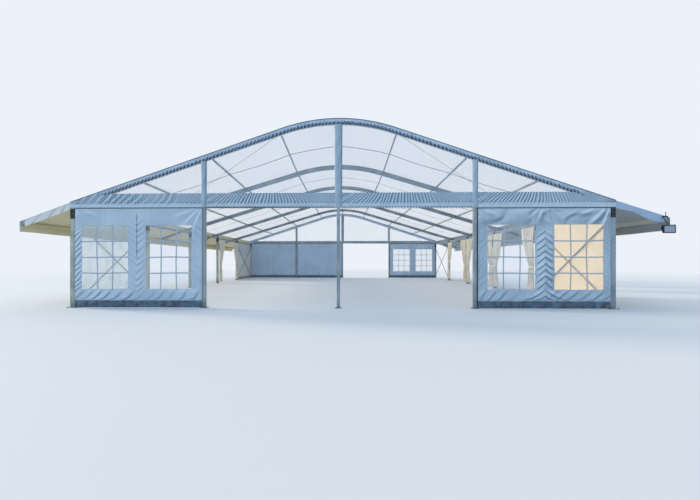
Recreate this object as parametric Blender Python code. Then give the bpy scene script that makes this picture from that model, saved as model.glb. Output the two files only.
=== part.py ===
"""Clear-roofed marquee with an arched crown, an awning along each side and panelled PVC walls.

Metres, +Z up. The origin lies on the ground at the middle of the plan. X runs across the span,
Y along the length, and the front gable faces -Y. Seen from the front, left is -X.
"""
import math

import bmesh
import bpy
from mathutils import Vector

# Frame: span over the outer faces of the legs, bays along the length, and the roof lines. The
# gable frames rise to a higher crown than the inner ones
SPAN = 20.13
BAY = 5.0
BAYS = 5
GABLE_BAY = 5.0
EAVE_TOP = 3.938
FRONT_PITCH = math.radians(18.78)
INNER_PITCH = math.radians(16.8)
REAR_PITCH = math.radians(18.05)
LEFT_AWNING_PITCH = math.radians(20.0)
RIGHT_AWNING_PITCH = math.radians(17.8)
CROWN_HALF = 2.1
CROWN_STEPS = 10

# Aluminium sections: across the frame plane, then in it
LEG_WIDTH = 0.112
LEG_DEPTH = 0.172
RAFTER_WIDTH = 0.112
RAFTER_DEPTH = 0.203
ARM_WIDTH = 0.08
ARM_DEPTH = 0.12
CHAMFER = 0.006
GROOVE_WIDTH = 0.012
GROOVE_DEPTH = 0.008
GROOVE_INSET = 0.02

# Feet and knees of the legs
FOOT_LENGTH = 0.36
FOOT_WIDTH = 0.26
PLATE = 0.012
KNEE_BOTTOM = 3.33
KNEE_TOP = 3.70
KNEE_INSET = 0.02
KNEE_PLATE = 0.008

# Purlins between the rafters, joined by bolts that pass through the rafters. One runs along the
# ridge, the first of each side starts beyond the crown and the others follow at one pitch
PURLIN_START = 2.2
PURLIN_PITCH = 2.65
PURLINS_PER_SIDE = 3
PURLIN_WIDTH = 0.06
PURLIN_DEPTH = 0.08
PURLIN_DROP = 0.012
EAVE_PURLIN_WIDTH = 0.06
EAVE_PURLIN_DEPTH = 0.12
EAVE_PURLIN_TOP = 3.68
BOLT_RADIUS = 0.012
BOLT_PLAY = 0.003
BOLT_SIDES = 8

# Gable frames
UPRIGHT_WIDTH = 0.12
GABLE_FRAME_DEPTH = 0.10
BEAM_BOTTOM = 3.74
BEAM_HEIGHT = 0.20
UPRIGHT_FOOT = 0.24

# Awnings
AWNING_REACH = 1.835
RAIL_WIDTH = 0.08
RAIL_HEIGHT = 0.16
RAIL_OVERHANG = 0.015
VALANCE_BOTTOM = 2.85
GABLE_VALANCE_DROP = 0.29
GABLE_VALANCE_SHORT = 0.30

# Fabric: sheets are drawn thicker than the real cloth
COVER = 0.006
CANOPY = 0.008
WALL = 0.008
WALL_SETBACK = 0.016
GLAZING_LAP = 0.05
WINDOW_SILL = 0.70
WINDOW_HEAD = 3.07
WINDOW_WIDTH = 1.75
WINDOW_SPACING = 2.41
WINDOW_PAIR_CENTRE = 7.54

# Side wall bracing tubes
BRACE_RADIUS = 0.028
BRACE_INSET = 0.045
BRACE_FOOT = 0.16
BRACE_KNEE_CLEAR = 0.05
BRACE_SIDES = 10

# Curtains tied back against the legs
CURTAIN_RAIL = 0.04
CURTAIN_RAIL_TOP = 3.52
CURTAIN_DEPTH = 0.10
DRAPE_THICK = 0.096
CURTAIN_WIDTH = 1.25
CURTAIN_WAIST = 0.34
CURTAIN_HEM = 0.62
TIE_HEIGHT = 1.45
CURTAIN_BOTTOM = 0.12
CURTAIN_CLEAR = 0.03

# Floodlight at the front right tip of the awning
LAMP_WIDTH = 0.44
LAMP_HEIGHT = 0.28
LAMP_DEPTH = 0.12
LAMP_BACK_INSET = 0.04
LAMP_DROP = 0.475
LAMP_FORWARD = 0.21
LAMP_INSET = 0.15
YOKE_PLATE = 0.008
YOKE_WIDTH = 0.04
YOKE_CLEAR = 0.006
PIVOT_RADIUS = 0.008
PIVOT_PLAY = 0.001
PIVOT_LENGTH = 0.03
PIN_SIDES = 12
SWING_CLEAR = 0.012

# Clearance between pieces that touch, and how far fused shapes reach into each other
GAP = 0.0003
BITE = 0.004

HALF = SPAN / 2
LENGTH = BAY * BAYS
LEG_INNER = HALF - LEG_DEPTH
LEG_MIDDLE = HALF - LEG_DEPTH / 2
WALL_BOTTOM = PLATE + GAP
BRACE_HEAD = KNEE_BOTTOM - BRACE_KNEE_CLEAR
FRONT_FACE = LENGTH / 2 + LEG_WIDTH / 2
ARM_TIP = HALF + AWNING_REACH
SIDES = {"left": -1, "right": 1}
FRAMES = [BAY * k - LENGTH / 2 for k in range(BAYS + 1)]
PITCHES = [FRONT_PITCH] + [INNER_PITCH] * (BAYS - 1) + [REAR_PITCH]
UPRIGHTS = [GABLE_BAY * k for k in (-1, 0, 1)]
PURLIN_LINES = [PURLIN_START + PURLIN_PITCH * k for k in range(PURLINS_PER_SIDE)]
PURLINS = [-x for x in reversed(PURLIN_LINES)] + [0.0] + PURLIN_LINES


def clear_scene():
    for obj in list(bpy.data.objects):
        bpy.data.objects.remove(obj, do_unlink=True)


def material(name, colour, roughness, metallic=0.0, alpha=1.0):
    made = bpy.data.materials.new(name)
    made.use_nodes = True
    shader = made.node_tree.nodes["Principled BSDF"]
    shader.inputs["Base Color"].default_value = (*colour, 1.0)
    shader.inputs["Roughness"].default_value = roughness
    shader.inputs["Metallic"].default_value = metallic
    shader.inputs["Alpha"].default_value = alpha
    made.diffuse_color = (*colour, 1.0)
    return made


def make_materials():
    return {
        "aluminium": material("aluminium", (0.55, 0.58, 0.60), 0.38, 1.0),
        "steel": material("painted_steel", (0.10, 0.11, 0.12), 0.45, 0.6),
        "clear": material("clear_pvc", (0.86, 0.92, 0.96), 0.12, 0.0, 0.35),
        "white": material("white_pvc", (0.66, 0.74, 0.80), 0.45),
        "awning": material("awning_pvc", (0.62, 0.66, 0.66), 0.5),
        "cream": material("cream_cloth", (0.86, 0.78, 0.60), 0.85),
        "lamp": material("lamp_housing", (0.06, 0.065, 0.07), 0.4, 0.5),
    }


def new_object(name, mesh, finish, location=(0, 0, 0)):
    obj = bpy.data.objects.new(name, mesh)
    obj.location = location
    mesh.materials.clear()
    mesh.materials.append(finish)
    bpy.context.scene.collection.objects.link(obj)
    return obj


def finish_mesh(bm, name):
    bmesh.ops.recalc_face_normals(bm, faces=bm.faces)
    mesh = bpy.data.meshes.new(name)
    bm.to_mesh(mesh)
    bm.free()
    return mesh


def loft(name, rings):
    """Closed body through rings of equally many points, with a flat cap at each end."""
    bm = bmesh.new()
    loops = [[bm.verts.new(point) for point in ring] for ring in rings]
    for low, high in zip(loops, loops[1:]):
        for k in range(len(low)):
            following = (k + 1) % len(low)
            bm.faces.new((low[k], low[following], high[following], high[k]))
    bm.faces.new(loops[0][::-1])
    bm.faces.new(loops[-1])
    return finish_mesh(bm, name)


def plate_xz(name, outline, y0, y1):
    """Outline of (x, z) points carried from y0 to y1."""
    return loft(name, [[(x, y, z) for x, z in outline] for y in (y0, y1)])


def plate_yz(name, outline, x0, x1):
    """Outline of (y, z) points carried from x0 to x1."""
    return loft(name, [[(x, y, z) for y, z in outline] for x in (x0, x1)])


def box(name, low, high):
    outline = [(low[0], low[2]), (high[0], low[2]), (high[0], high[2]), (low[0], high[2])]
    return plate_xz(name, outline, low[1], high[1])


def combine(name, first, others, operation):
    """Boolean of the first mesh with each other mesh in turn, as one new mesh."""
    base = bpy.data.objects.new(name, first)
    bpy.context.scene.collection.objects.link(base)
    helpers = []
    for other in others:
        helper = bpy.data.objects.new(name, other)
        bpy.context.scene.collection.objects.link(helper)
        modifier = base.modifiers.new(name, "BOOLEAN")
        modifier.operation = operation
        modifier.solver = "EXACT"
        modifier.object = helper
        helpers.append(helper)
    graph = bpy.context.evaluated_depsgraph_get()
    mesh = bpy.data.meshes.new_from_object(base.evaluated_get(graph))
    mesh.name = name
    for obj in helpers + [base]:
        bpy.data.objects.remove(obj, do_unlink=True)
    return mesh


def fuse(name, first, *others):
    return combine(name, first, others, "UNION")


def cut(name, first, *others):
    return combine(name, first, others, "DIFFERENCE")


def grooved_section(width, depth):
    """Closed outline of (across, along) points: chamfered corners, two keder grooves a side."""
    half_w = width / 2
    half_d = depth / 2
    floor = half_w - GROOVE_DEPTH
    side = [(half_w - CHAMFER, -half_d), (half_w, CHAMFER - half_d)]
    for start in (GROOVE_INSET - half_d, half_d - GROOVE_INSET - GROOVE_WIDTH):
        end = start + GROOVE_WIDTH
        side += [(half_w, start), (floor, start), (floor, end), (half_w, end)]
    side += [(half_w, half_d - CHAMFER), (half_w - CHAMFER, half_d)]
    return side + [(-u, -v) for u, v in side]


def roof_z(x, pitch):
    """Height of a roof line: an arc over the crown, a straight slope of the pitch beyond it."""
    reach = abs(x)
    slope = math.tan(pitch)
    if reach >= CROWN_HALF:
        return EAVE_TOP + (HALF - reach) * slope
    radius = crown_radius(pitch)
    centre = EAVE_TOP + (HALF - CROWN_HALF) * slope - radius * math.cos(pitch)
    return centre + math.sqrt(radius ** 2 - reach ** 2)


def crown_radius(pitch):
    return CROWN_HALF / math.sin(pitch)


def awning_pitch(x):
    return LEFT_AWNING_PITCH if x < 0 else RIGHT_AWNING_PITCH


def awning_z(x):
    """Height of the straight line that the awning on this side slopes down along from the eaves."""
    return EAVE_TOP + (HALF - abs(x)) * math.tan(awning_pitch(x))


def roof_normal(x, pitch):
    lean = math.asin(min(abs(x), CROWN_HALF) / crown_radius(pitch))
    return Vector((math.copysign(math.sin(lean), x), 0, math.cos(lean)))


def below_roof(x, depth, pitch):
    """(x, z) of the point that lies the given depth under the roof line at x, square to it."""
    lower = Vector((x, 0, roof_z(x, pitch))) - roof_normal(x, pitch) * depth
    return lower.x, lower.z


def under_roof_z(x, depth, pitch):
    """Height at x of the line that runs the given depth under the roof line, crown in chords."""
    crown = [below_roof(station, depth, pitch) for station in crown_stations()]
    edge_x, edge_z = crown[-1]
    if abs(x) >= edge_x:
        return edge_z - (abs(x) - edge_x) * math.tan(pitch)
    for (x0, z0), (x1, z1) in zip(crown, crown[1:]):
        if x <= x1:
            return z0 + (z1 - z0) * (x - x0) / (x1 - x0)
    return edge_z


def crown_stations():
    return [CROWN_HALF * (2 * k / CROWN_STEPS - 1) for k in range(CROWN_STEPS + 1)]


def roof_line(depth, half_width, pitch, stations):
    """(x, z) points from left to right at one depth under the roof, ends cut upright."""
    ends = [(side * half_width, under_roof_z(half_width, depth, pitch)) for side in (-1, 1)]
    middle = [below_roof(x, depth, pitch) for x in stations]
    return [ends[0]] + middle + [ends[1]]


def section_ring(x, y, width, depth, drop, pitch):
    """Section of a rafter or arm that hangs square under the roof line at x."""
    top = Vector((x, y, roof_z(x, pitch)))
    normal = roof_normal(x, pitch)
    middle = top - normal * (drop + depth / 2)
    return [middle + Vector((0, u, 0)) + normal * v for u, v in grooved_section(width, depth)]


def upright_ring(x, y, width, depth, drop, pitch):
    """The same section cut by the upright plane at x, on a straight slope."""
    ring = section_ring(x, y, width, depth, drop, pitch)
    fall = math.copysign(math.tan(pitch), x)
    return [Vector((x, p.y, p.z - (x - p.x) * fall)) for p in ring]


def make_rafter(number, y, finish):
    """One arched rafter, with a slimmer awning arm that slopes on down from each end."""
    pitch = PITCHES[number - 1]
    rafter = (RAFTER_WIDTH, RAFTER_DEPTH, 0.0, pitch)
    arm = (ARM_WIDTH, ARM_DEPTH, CANOPY + GAP)
    rings = [upright_ring(x, y, *arm, LEFT_AWNING_PITCH) for x in (-ARM_TIP, -HALF)]
    rings.append(upright_ring(-HALF, y, *rafter))
    rings += [section_ring(x, y, *rafter) for x in crown_stations()]
    rings.append(upright_ring(HALF, y, *rafter))
    rings += [upright_ring(x, y, *arm, RIGHT_AWNING_PITCH) for x in (HALF, ARM_TIP)]
    name = f"rafter_{number}"
    body = loft(name, rings)
    if abs(y) < LENGTH / 2:
        holes = [bolt_hole(x, y, RAFTER_WIDTH, pitch) for x in PURLINS]
        body = cut(name, body, *holes)
    return new_object(name, body, finish)


def rounded_ring(x, y, z, radius, normal):
    """Ring of points round the line along Y through (x, z), with a flat turned to the normal."""
    across = Vector((normal.z, 0, -normal.x))
    centre = Vector((x, y, z))
    reach = radius / math.cos(math.pi / BOLT_SIDES)
    angles = [math.tau * (k + 0.5) / BOLT_SIDES for k in range(BOLT_SIDES)]
    return [centre + across * reach * math.cos(a) + normal * reach * math.sin(a) for a in angles]


def bar_ring(x, y, z, width, depth, normal):
    """Chamfered section of a bar along Y, with as many corners as a bolt ring."""
    across = Vector((normal.z, 0, -normal.x))
    centre = Vector((x, y, z))
    half_w = width / 2
    half_d = depth / 2
    corner = [(half_w, half_d - CHAMFER), (half_w - CHAMFER, half_d)]
    corner += [(CHAMFER - half_w, half_d), (-half_w, half_d - CHAMFER)]
    corner += [(-u, -v) for u, v in corner]
    return [centre + across * u + normal * v for u, v in corner]


def purlin_centre(x, pitch):
    return below_roof(x, COVER + PURLIN_DROP + PURLIN_DEPTH / 2, pitch)


def bolt_hole(x, y, width, pitch):
    cx, cz = purlin_centre(x, pitch)
    normal = roof_normal(x, pitch)
    ends = (y - width, y + width)
    radius = BOLT_RADIUS + BOLT_PLAY
    return loft("bolt_hole", [rounded_ring(cx, end, cz, radius, normal) for end in ends])


def bolted_line(name, centres, normals, width, depth, carrier_width):
    """Bars, one a bay, joined by bolts through the frames that they butt against.

    Centres and normals hold the line's (x, z) and its upward direction at each frame.
    """
    rings = []
    for k in range(BAYS):
        start = FRAMES[k] + carrier_width / 2 + GAP
        end = FRAMES[k + 1] - carrier_width / 2 - GAP
        x0, z0 = centres[k]
        x1, z1 = centres[k + 1]
        upward = (normals[k] + normals[k + 1]).normalized()
        if k > 0:
            rings.append(rounded_ring(x0, start, z0, BOLT_RADIUS, normals[k]))
        rings.append(bar_ring(x0, start, z0, width, depth, upward))
        rings.append(bar_ring(x1, end, z1, width, depth, upward))
        if k < BAYS - 1:
            rings.append(rounded_ring(x1, end, z1, BOLT_RADIUS, normals[k + 1]))
    return loft(name, rings)


def purlin_name(x):
    if x == 0:
        return "ridge_purlin"
    side = "left" if x < 0 else "right"
    return f"purlin_{side}_{PURLIN_LINES.index(abs(x)) + 1}"


def make_purlins(finish):
    for x in PURLINS:
        centres = [purlin_centre(x, pitch) for pitch in PITCHES]
        normals = [roof_normal(x, pitch) for pitch in PITCHES]
        name = purlin_name(x)
        line = bolted_line(name, centres, normals, PURLIN_WIDTH, PURLIN_DEPTH, RAFTER_WIDTH)
        new_object(name, line, finish)


def eave_purlin_z():
    return EAVE_PURLIN_TOP - EAVE_PURLIN_DEPTH / 2


def make_eave_purlins(finish):
    upward = [Vector((0, 0, 1))] * len(FRAMES)
    carrier = LEG_WIDTH + 2 * KNEE_PLATE
    for side_name, side in SIDES.items():
        name = f"eave_purlin_{side_name}"
        centres = [(side * LEG_MIDDLE, eave_purlin_z())] * len(FRAMES)
        size = (EAVE_PURLIN_WIDTH, EAVE_PURLIN_DEPTH)
        line = bolted_line(name, centres, upward, *size, carrier)
        new_object(name, line, finish)


def leg_top(x, pitch):
    return under_roof_z(x, RAFTER_DEPTH, pitch) - GAP


def make_leg(side_name, side, number, y, finish):
    """Grooved leg on a flat foot, cut to the slope of the rafter, with plates round its knee."""
    name = f"leg_{side_name}_{number}"
    pitch = PITCHES[number - 1]
    middle = side * LEG_MIDDLE
    section = grooved_section(LEG_WIDTH, LEG_DEPTH)
    low = [(middle + v, y + u, PLATE / 2) for u, v in section]
    high = [(middle + v, y + u, leg_top(middle + v, pitch)) for u, v in section]
    shaft = loft(name, [low, high])
    reach = FOOT_LENGTH / 2
    foot = box("foot", (middle - reach, y - FOOT_WIDTH / 2, 0), (middle + reach, y + FOOT_WIDTH / 2, PLATE))
    half_x = LEG_DEPTH / 2 - KNEE_INSET
    half_y = LEG_WIDTH / 2 + KNEE_PLATE
    knee = box("knee", (middle - half_x, y - half_y, KNEE_BOTTOM), (middle + half_x, y + half_y, KNEE_TOP))
    body = fuse(name, shaft, foot, knee)
    if abs(y) < LENGTH / 2:
        radius = BOLT_RADIUS + BOLT_PLAY
        ends = (y - LEG_WIDTH, y + LEG_WIDTH)
        upward = Vector((0, 0, 1))
        rings = [rounded_ring(middle, end, eave_purlin_z(), radius, upward) for end in ends]
        body = cut(name, body, loft("bolt_hole", rings))
    return new_object(name, body, finish)


def gable_planes():
    """Name, direction and frame line of the two ends."""
    return (("front", -1), ("rear", 1))


def gable_frame_faces(end):
    """Outer and inner Y of the upright frame in a gable, seated behind the gable sheet."""
    outer = end * (FRONT_FACE - COVER - GAP)
    return outer, outer - end * GABLE_FRAME_DEPTH


def gable_pitch(end):
    return PITCHES[0] if end < 0 else PITCHES[-1]


def make_gable_frame(end_name, end, finish):
    """Three uprights on their feet, crossed by the beam that the walls hang from."""
    name = f"{end_name}_gable_frame"
    pitch = gable_pitch(end)
    outer, inner = gable_frame_faces(end)
    beam_top = BEAM_BOTTOM + BEAM_HEIGHT
    slope_end = LEG_INNER - GAP
    outline = [(-slope_end, BEAM_BOTTOM), (slope_end, BEAM_BOTTOM)]
    outline.append((slope_end, leg_top(slope_end, pitch)))
    shoulder = HALF - (beam_top - leg_top(HALF, pitch)) / math.tan(pitch) - GAP
    outline += [(shoulder, beam_top), (-shoulder, beam_top)]
    outline.append((-slope_end, leg_top(slope_end, pitch)))
    beam = plate_xz(name, outline, outer, inner)
    parts = []
    for x in UPRIGHTS:
        half = UPRIGHT_WIDTH / 2
        corners = (x - half, x + half)
        line = [(corners[0], PLATE / 2), (corners[1], PLATE / 2)]
        line += [(corner, leg_top(corner, pitch)) for corner in corners[::-1]]
        shift = end * BITE / 4
        parts.append(plate_xz("upright", line, outer - shift, inner + shift))
        middle = (outer + inner) / 2
        reach = UPRIGHT_FOOT / 2
        foot = box("foot", (x - reach, middle - reach, 0), (x + reach, middle + reach, PLATE))
        parts.append(foot)
    return new_object(name, fuse(name, beam, *parts), finish)


def make_gable_sheet(end_name, end, finish):
    """Gable cloth: clear above, white band below, in the plane of the rafter's outer face."""
    name = f"{end_name}_gable_sheet"
    edge = LEG_INNER - GAP
    top = roof_line(RAFTER_DEPTH + GAP, edge, gable_pitch(end), crown_stations())
    outline = [(-edge, BEAM_BOTTOM)] + top + [(edge, BEAM_BOTTOM)]
    outer = end * FRONT_FACE
    return new_object(name, plate_xz(name, outline, outer, outer - end * COVER), finish)


def cover_line(depth, pitch):
    """Roof line from eave to eave, with a point over each purlin beyond the crown."""
    beyond = [x for x in PURLINS if abs(x) > CROWN_HALF]
    return roof_line(depth, HALF, pitch, sorted(beyond + crown_stations()))


def make_cover(number, finish):
    """One roof sheet, from eave to eave, spread between the roof lines of two rafters."""
    name = f"roof_cover_{number}"
    bm = bmesh.new()
    ends = []
    for frame, way in ((number - 1, 1), (number, -1)):
        y = FRAMES[frame] + way * (RAFTER_WIDTH / 2 + GAP)
        lines = [cover_line(depth, PITCHES[frame]) for depth in (0.0, COVER)]
        ends.append([[bm.verts.new((x, y, z)) for x, z in line] for line in lines])
    for k in range(len(ends[0][0]) - 1):
        for near, far in zip(*ends):
            bm.faces.new((near[k], near[k + 1], far[k + 1]))
            bm.faces.new((near[k], far[k + 1], far[k]))
        for top, low in ends:
            bm.faces.new((top[k], top[k + 1], low[k + 1], low[k]))
    for k in (0, -1):
        bm.faces.new((ends[0][0][k], ends[1][0][k], ends[1][1][k], ends[0][1][k]))
    return new_object(name, finish_mesh(bm, name), finish)


def rail_x():
    return ARM_TIP + GAP


def valance_x():
    return rail_x() + RAIL_WIDTH + GAP


def make_awning_rail(side_name, side, finish):
    """Rail across the tips of the awning arms, with its top under the canopy."""
    name = f"awning_rail_{side_name}"
    near = side * rail_x()
    far = near + side * RAIL_WIDTH
    drop = (CANOPY + GAP) / math.cos(awning_pitch(near))
    outline = [(near, awning_z(near) - drop), (far, awning_z(far) - drop)]
    bottom = awning_z(far) - drop - RAIL_HEIGHT
    outline += [(far, bottom), (near, bottom)]
    reach = FRONT_FACE + RAIL_OVERHANG
    return new_object(name, plate_xz(name, outline, -reach, reach), finish)


def canopy_under_z(x):
    return awning_z(x) - CANOPY / math.cos(awning_pitch(x))


def make_awning_canopy(side_name, side, finish):
    """Opaque sheet over the arms and the rail, with a short valance along each end arm."""
    name = f"awning_canopy_{side_name}"
    near = side * (HALF + GAP)
    far = side * (valance_x() + CANOPY)
    outline = [(near, awning_z(near)), (far, awning_z(far))]
    outline += [(far, canopy_under_z(far)), (near, canopy_under_z(near))]
    end_inner = LENGTH / 2 + ARM_WIDTH / 2 + GAP
    end_outer = end_inner + CANOPY
    sheet = plate_xz(name, outline, -awning_end_y(), awning_end_y())
    root = near + side * BITE
    short = side * (ARM_TIP - GABLE_VALANCE_SHORT)
    strip = [(x, (awning_z(x) + canopy_under_z(x)) / 2) for x in (root, short)]
    strip += [(x, awning_z(x) - GABLE_VALANCE_DROP) for x in (short, root)]
    ends = [plate_xz("valance", strip, end * end_inner, end * end_outer) for end in (-1, 1)]
    return new_object(name, fuse(name, sheet, *ends), finish)


def awning_end_y():
    """Y of the end edges of the canopy, just past the valances on the end arms."""
    return LENGTH / 2 + ARM_WIDTH / 2 + GAP + CANOPY + BITE / 2


def make_awning_valance(side_name, side, finish):
    """Strip of cloth that hangs outside the rail, under the edge of the canopy."""
    name = f"awning_valance_{side_name}"
    near = side * valance_x()
    far = near + side * CANOPY
    outline = [(near, canopy_under_z(near) - GAP), (far, canopy_under_z(far) - GAP)]
    outline += [(far, VALANCE_BOTTOM), (near, VALANCE_BOTTOM)]
    body = plate_xz(name, outline, -awning_end_y(), awning_end_y())
    return new_object(name, body, finish)


def wall_with_windows(name, xs, zs, windows, y0, y1):
    """Upright sheet over the grid xs by zs, left open at the (column, row) cells in windows."""
    bm = bmesh.new()
    grid = [[bm.verts.new((x, y0, z)) for z in zs] for x in xs]
    for i in range(len(xs) - 1):
        for j in range(len(zs) - 1):
            if (i, j) not in windows:
                bm.faces.new((grid[i][j], grid[i + 1][j], grid[i + 1][j + 1], grid[i][j + 1]))
    skin = bmesh.ops.extrude_face_region(bm, geom=bm.faces[:])
    moved = [item for item in skin["geom"] if isinstance(item, bmesh.types.BMVert)]
    bmesh.ops.translate(bm, verts=moved, vec=(0, y1 - y0, 0))
    return finish_mesh(bm, name)


def window_edges(side):
    """The four upright edges of the pair of windows in an outer gable bay, left to right."""
    edges = []
    for centre in (-WINDOW_SPACING / 2, WINDOW_SPACING / 2):
        for half in (-WINDOW_WIDTH / 2, WINDOW_WIDTH / 2):
            edges.append(side * WINDOW_PAIR_CENTRE + centre + half)
    return edges


def wall_faces(end):
    """Outer and inner Y of a gable wall."""
    outer = end * (FRONT_FACE - WALL_SETBACK)
    return outer, outer - end * WALL


def gable_bay(index):
    """X of the two posts' faces that bound gable bay 0 to 3, less the clearance."""
    half = UPRIGHT_WIDTH / 2 + GAP
    lefts = [GAP - LEG_INNER] + [x + half for x in UPRIGHTS]
    rights = [x - half for x in UPRIGHTS] + [LEG_INNER - GAP]
    return lefts[index], rights[index]


def make_window_wall(name, end, bay, finish):
    left, right = gable_bay(bay)
    side = -1 if bay == 0 else 1
    xs = [left] + window_edges(side) + [right]
    zs = [WALL_BOTTOM, WINDOW_SILL, WINDOW_HEAD, BEAM_BOTTOM - GAP]
    outer, inner = wall_faces(end)
    windows = ((1, 1), (3, 1))
    return new_object(name, wall_with_windows(name, xs, zs, windows, outer, inner), finish)


def make_glazing(name, end, side, finish):
    """One clear sheet behind a wall, closing both its windows."""
    edges = window_edges(side)
    near = wall_faces(end)[1] - end * GAP
    far = near - end * COVER
    low = (edges[0] - GLAZING_LAP, min(near, far), WINDOW_SILL - GLAZING_LAP)
    high = (edges[-1] + GLAZING_LAP, max(near, far), WINDOW_HEAD + GLAZING_LAP)
    return new_object(name, box(name, low, high), finish)


def make_plain_wall(name, end, bay, finish):
    left, right = gable_bay(bay)
    faces = sorted(wall_faces(end))
    body = box(name, (left, faces[0], WALL_BOTTOM), (right, faces[1], BEAM_BOTTOM - GAP))
    return new_object(name, body, finish)


def side_bay(number):
    """Y of the leg faces that bound a side bay, less the clearance; bay 1 is at the front."""
    half = LEG_WIDTH / 2 + GAP
    return FRAMES[number - 1] + half, FRAMES[number] - half


def make_side_wall(side_name, side, bay, finish):
    """Plain sheet between two legs, hung under the eave purlin."""
    name = f"side_wall_{side_name}_{bay}"
    start, end = side_bay(bay)
    start += KNEE_PLATE
    end -= KNEE_PLATE
    middle = side * LEG_MIDDLE
    low = (middle - WALL / 2, start, WALL_BOTTOM)
    high = (middle + WALL / 2, end, EAVE_PURLIN_TOP - EAVE_PURLIN_DEPTH - GAP)
    return new_object(name, box(name, low, high), finish)


def make_brace(side_name, side, bay, finish):
    """Two crossed tubes between two legs, from foot to knee, ends flat against the legs."""
    name = f"side_brace_{side_name}_{bay}"
    start, end = side_bay(bay)
    x = side * (LEG_INNER + BRACE_INSET)
    stretch = math.hypot(end - start, BRACE_HEAD - BRACE_FOOT) / (end - start)
    tubes = []
    for heights in ((BRACE_FOOT, BRACE_HEAD), (BRACE_HEAD, BRACE_FOOT)):
        rings = []
        for y, z in zip((start, end), heights):
            angles = [math.tau * k / BRACE_SIDES for k in range(BRACE_SIDES)]
            ring = [(x + BRACE_RADIUS * math.cos(a), y, z + BRACE_RADIUS * stretch * math.sin(a))
                    for a in angles]
            rings.append(ring)
        tubes.append(loft(name, rings))
    return new_object(name, fuse(name, *tubes), finish)


def curtain_outline(post, direction):
    """(y, z) outline of one drape, its straight edge by the post and tied in at the waist."""
    near = post + direction * (LEG_WIDTH / 2 + CURTAIN_CLEAR)
    top = CURTAIN_RAIL_TOP - CURTAIN_RAIL / 2
    widths = ((CURTAIN_WIDTH, top), (CURTAIN_WAIST, TIE_HEIGHT), (CURTAIN_HEM, CURTAIN_BOTTOM))
    far = [(near + direction * width, z) for width, z in widths]
    return [(near, CURTAIN_BOTTOM), (near, top)] + far


def make_curtains(side_name, side, drapes, finish):
    """Rail along the legs' inner faces, with a drape tied back on each listed side of a leg."""
    name = f"side_curtains_{side_name}"
    near = side * (LEG_INNER - GAP)
    rail_far = near - side * CURTAIN_RAIL
    posts = [FRAMES[frame] for frame, direction in drapes]
    reach = LEG_WIDTH / 2
    low = (min(near, rail_far), min(posts) - reach, CURTAIN_RAIL_TOP - CURTAIN_RAIL)
    high = (max(near, rail_far), max(posts) + reach, CURTAIN_RAIL_TOP)
    rail = box(name, low, high)
    middle = near - side * CURTAIN_DEPTH / 2
    faces = (middle - DRAPE_THICK / 2, middle + DRAPE_THICK / 2)
    hung = [plate_yz("drape", curtain_outline(FRAMES[frame], way), *faces) for frame, way in drapes]
    return new_object(name, fuse(name, rail, *hung), finish)


def lamp_pivot():
    """Middle of the floodlight's tilt axis, which runs along X."""
    x = ARM_TIP - LAMP_INSET
    y = -(LENGTH / 2 + ARM_WIDTH / 2 + LAMP_FORWARD)
    return Vector((x, y, awning_z(ARM_TIP) - LAMP_DROP))


def swing_radius():
    return math.hypot(LAMP_HEIGHT, LAMP_DEPTH) / 2


def make_lamp_yoke(finish):
    """Seat plate on the end arm, sloping strap, and the yoke that holds the lamp by two pins."""
    name = "floodlight_yoke"
    pivot = lamp_pivot()
    seat_y = -(LENGTH / 2 + ARM_WIDTH / 2 + GAP)
    seat_middle = awning_z(pivot.x) - ARM_DEPTH / 2 - CANOPY
    half = YOKE_WIDTH / 2
    seat = box(name, (pivot.x - half, seat_y - YOKE_PLATE, seat_middle - half),
               (pivot.x + half, seat_y, seat_middle + half))
    bar_bottom = pivot.z + swing_radius() + SWING_CLEAR
    bar_top = bar_bottom + YOKE_PLATE
    half_width = LAMP_WIDTH / 2 + YOKE_CLEAR + YOKE_PLATE
    bar = box("bar", (pivot.x - half_width, pivot.y - half, bar_bottom),
              (pivot.x + half_width, pivot.y + half, bar_top))
    strap_line = [(seat_y - YOKE_PLATE / 2, seat_middle + half - BITE),
                  (pivot.y - half + BITE, bar_top - YOKE_PLATE / 2 + YOKE_PLATE),
                  (pivot.y - half + BITE, bar_bottom + BITE / 2),
                  (seat_y - YOKE_PLATE / 2, seat_middle - half + BITE)]
    strap = plate_yz("strap", strap_line, pivot.x - YOKE_PLATE / 2, pivot.x + YOKE_PLATE / 2)
    parts = [bar, strap]
    for way in (-1, 1):
        outer = pivot.x + way * (half_width - BITE / 4)
        inner = pivot.x + way * (half_width - YOKE_PLATE)
        ends = sorted((outer, inner))
        cheek = box("cheek", (ends[0], pivot.y - half + BITE / 2, pivot.z - half),
                    (ends[1], pivot.y + half - BITE / 2, bar_top - BITE / 2))
        tip = pivot.x + way * (LAMP_WIDTH / 2 - PIVOT_LENGTH)
        root = (ends[0] + ends[1]) / 2
        parts += [cheek, pivot_pin(root, tip, pivot, PIVOT_RADIUS)]
    return new_object(name, fuse(name, seat, *parts), finish)


def pivot_pin(start, end, pivot, radius):
    """Round bar along X on the tilt axis."""
    rings = []
    for x in (start, end):
        angles = [math.tau * (k + 0.5) / PIN_SIDES for k in range(PIN_SIDES)]
        ring = [(x, pivot.y + radius * math.cos(a), pivot.z + radius * math.sin(a)) for a in angles]
        rings.append(ring)
    return loft("pivot_pin", rings)


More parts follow.
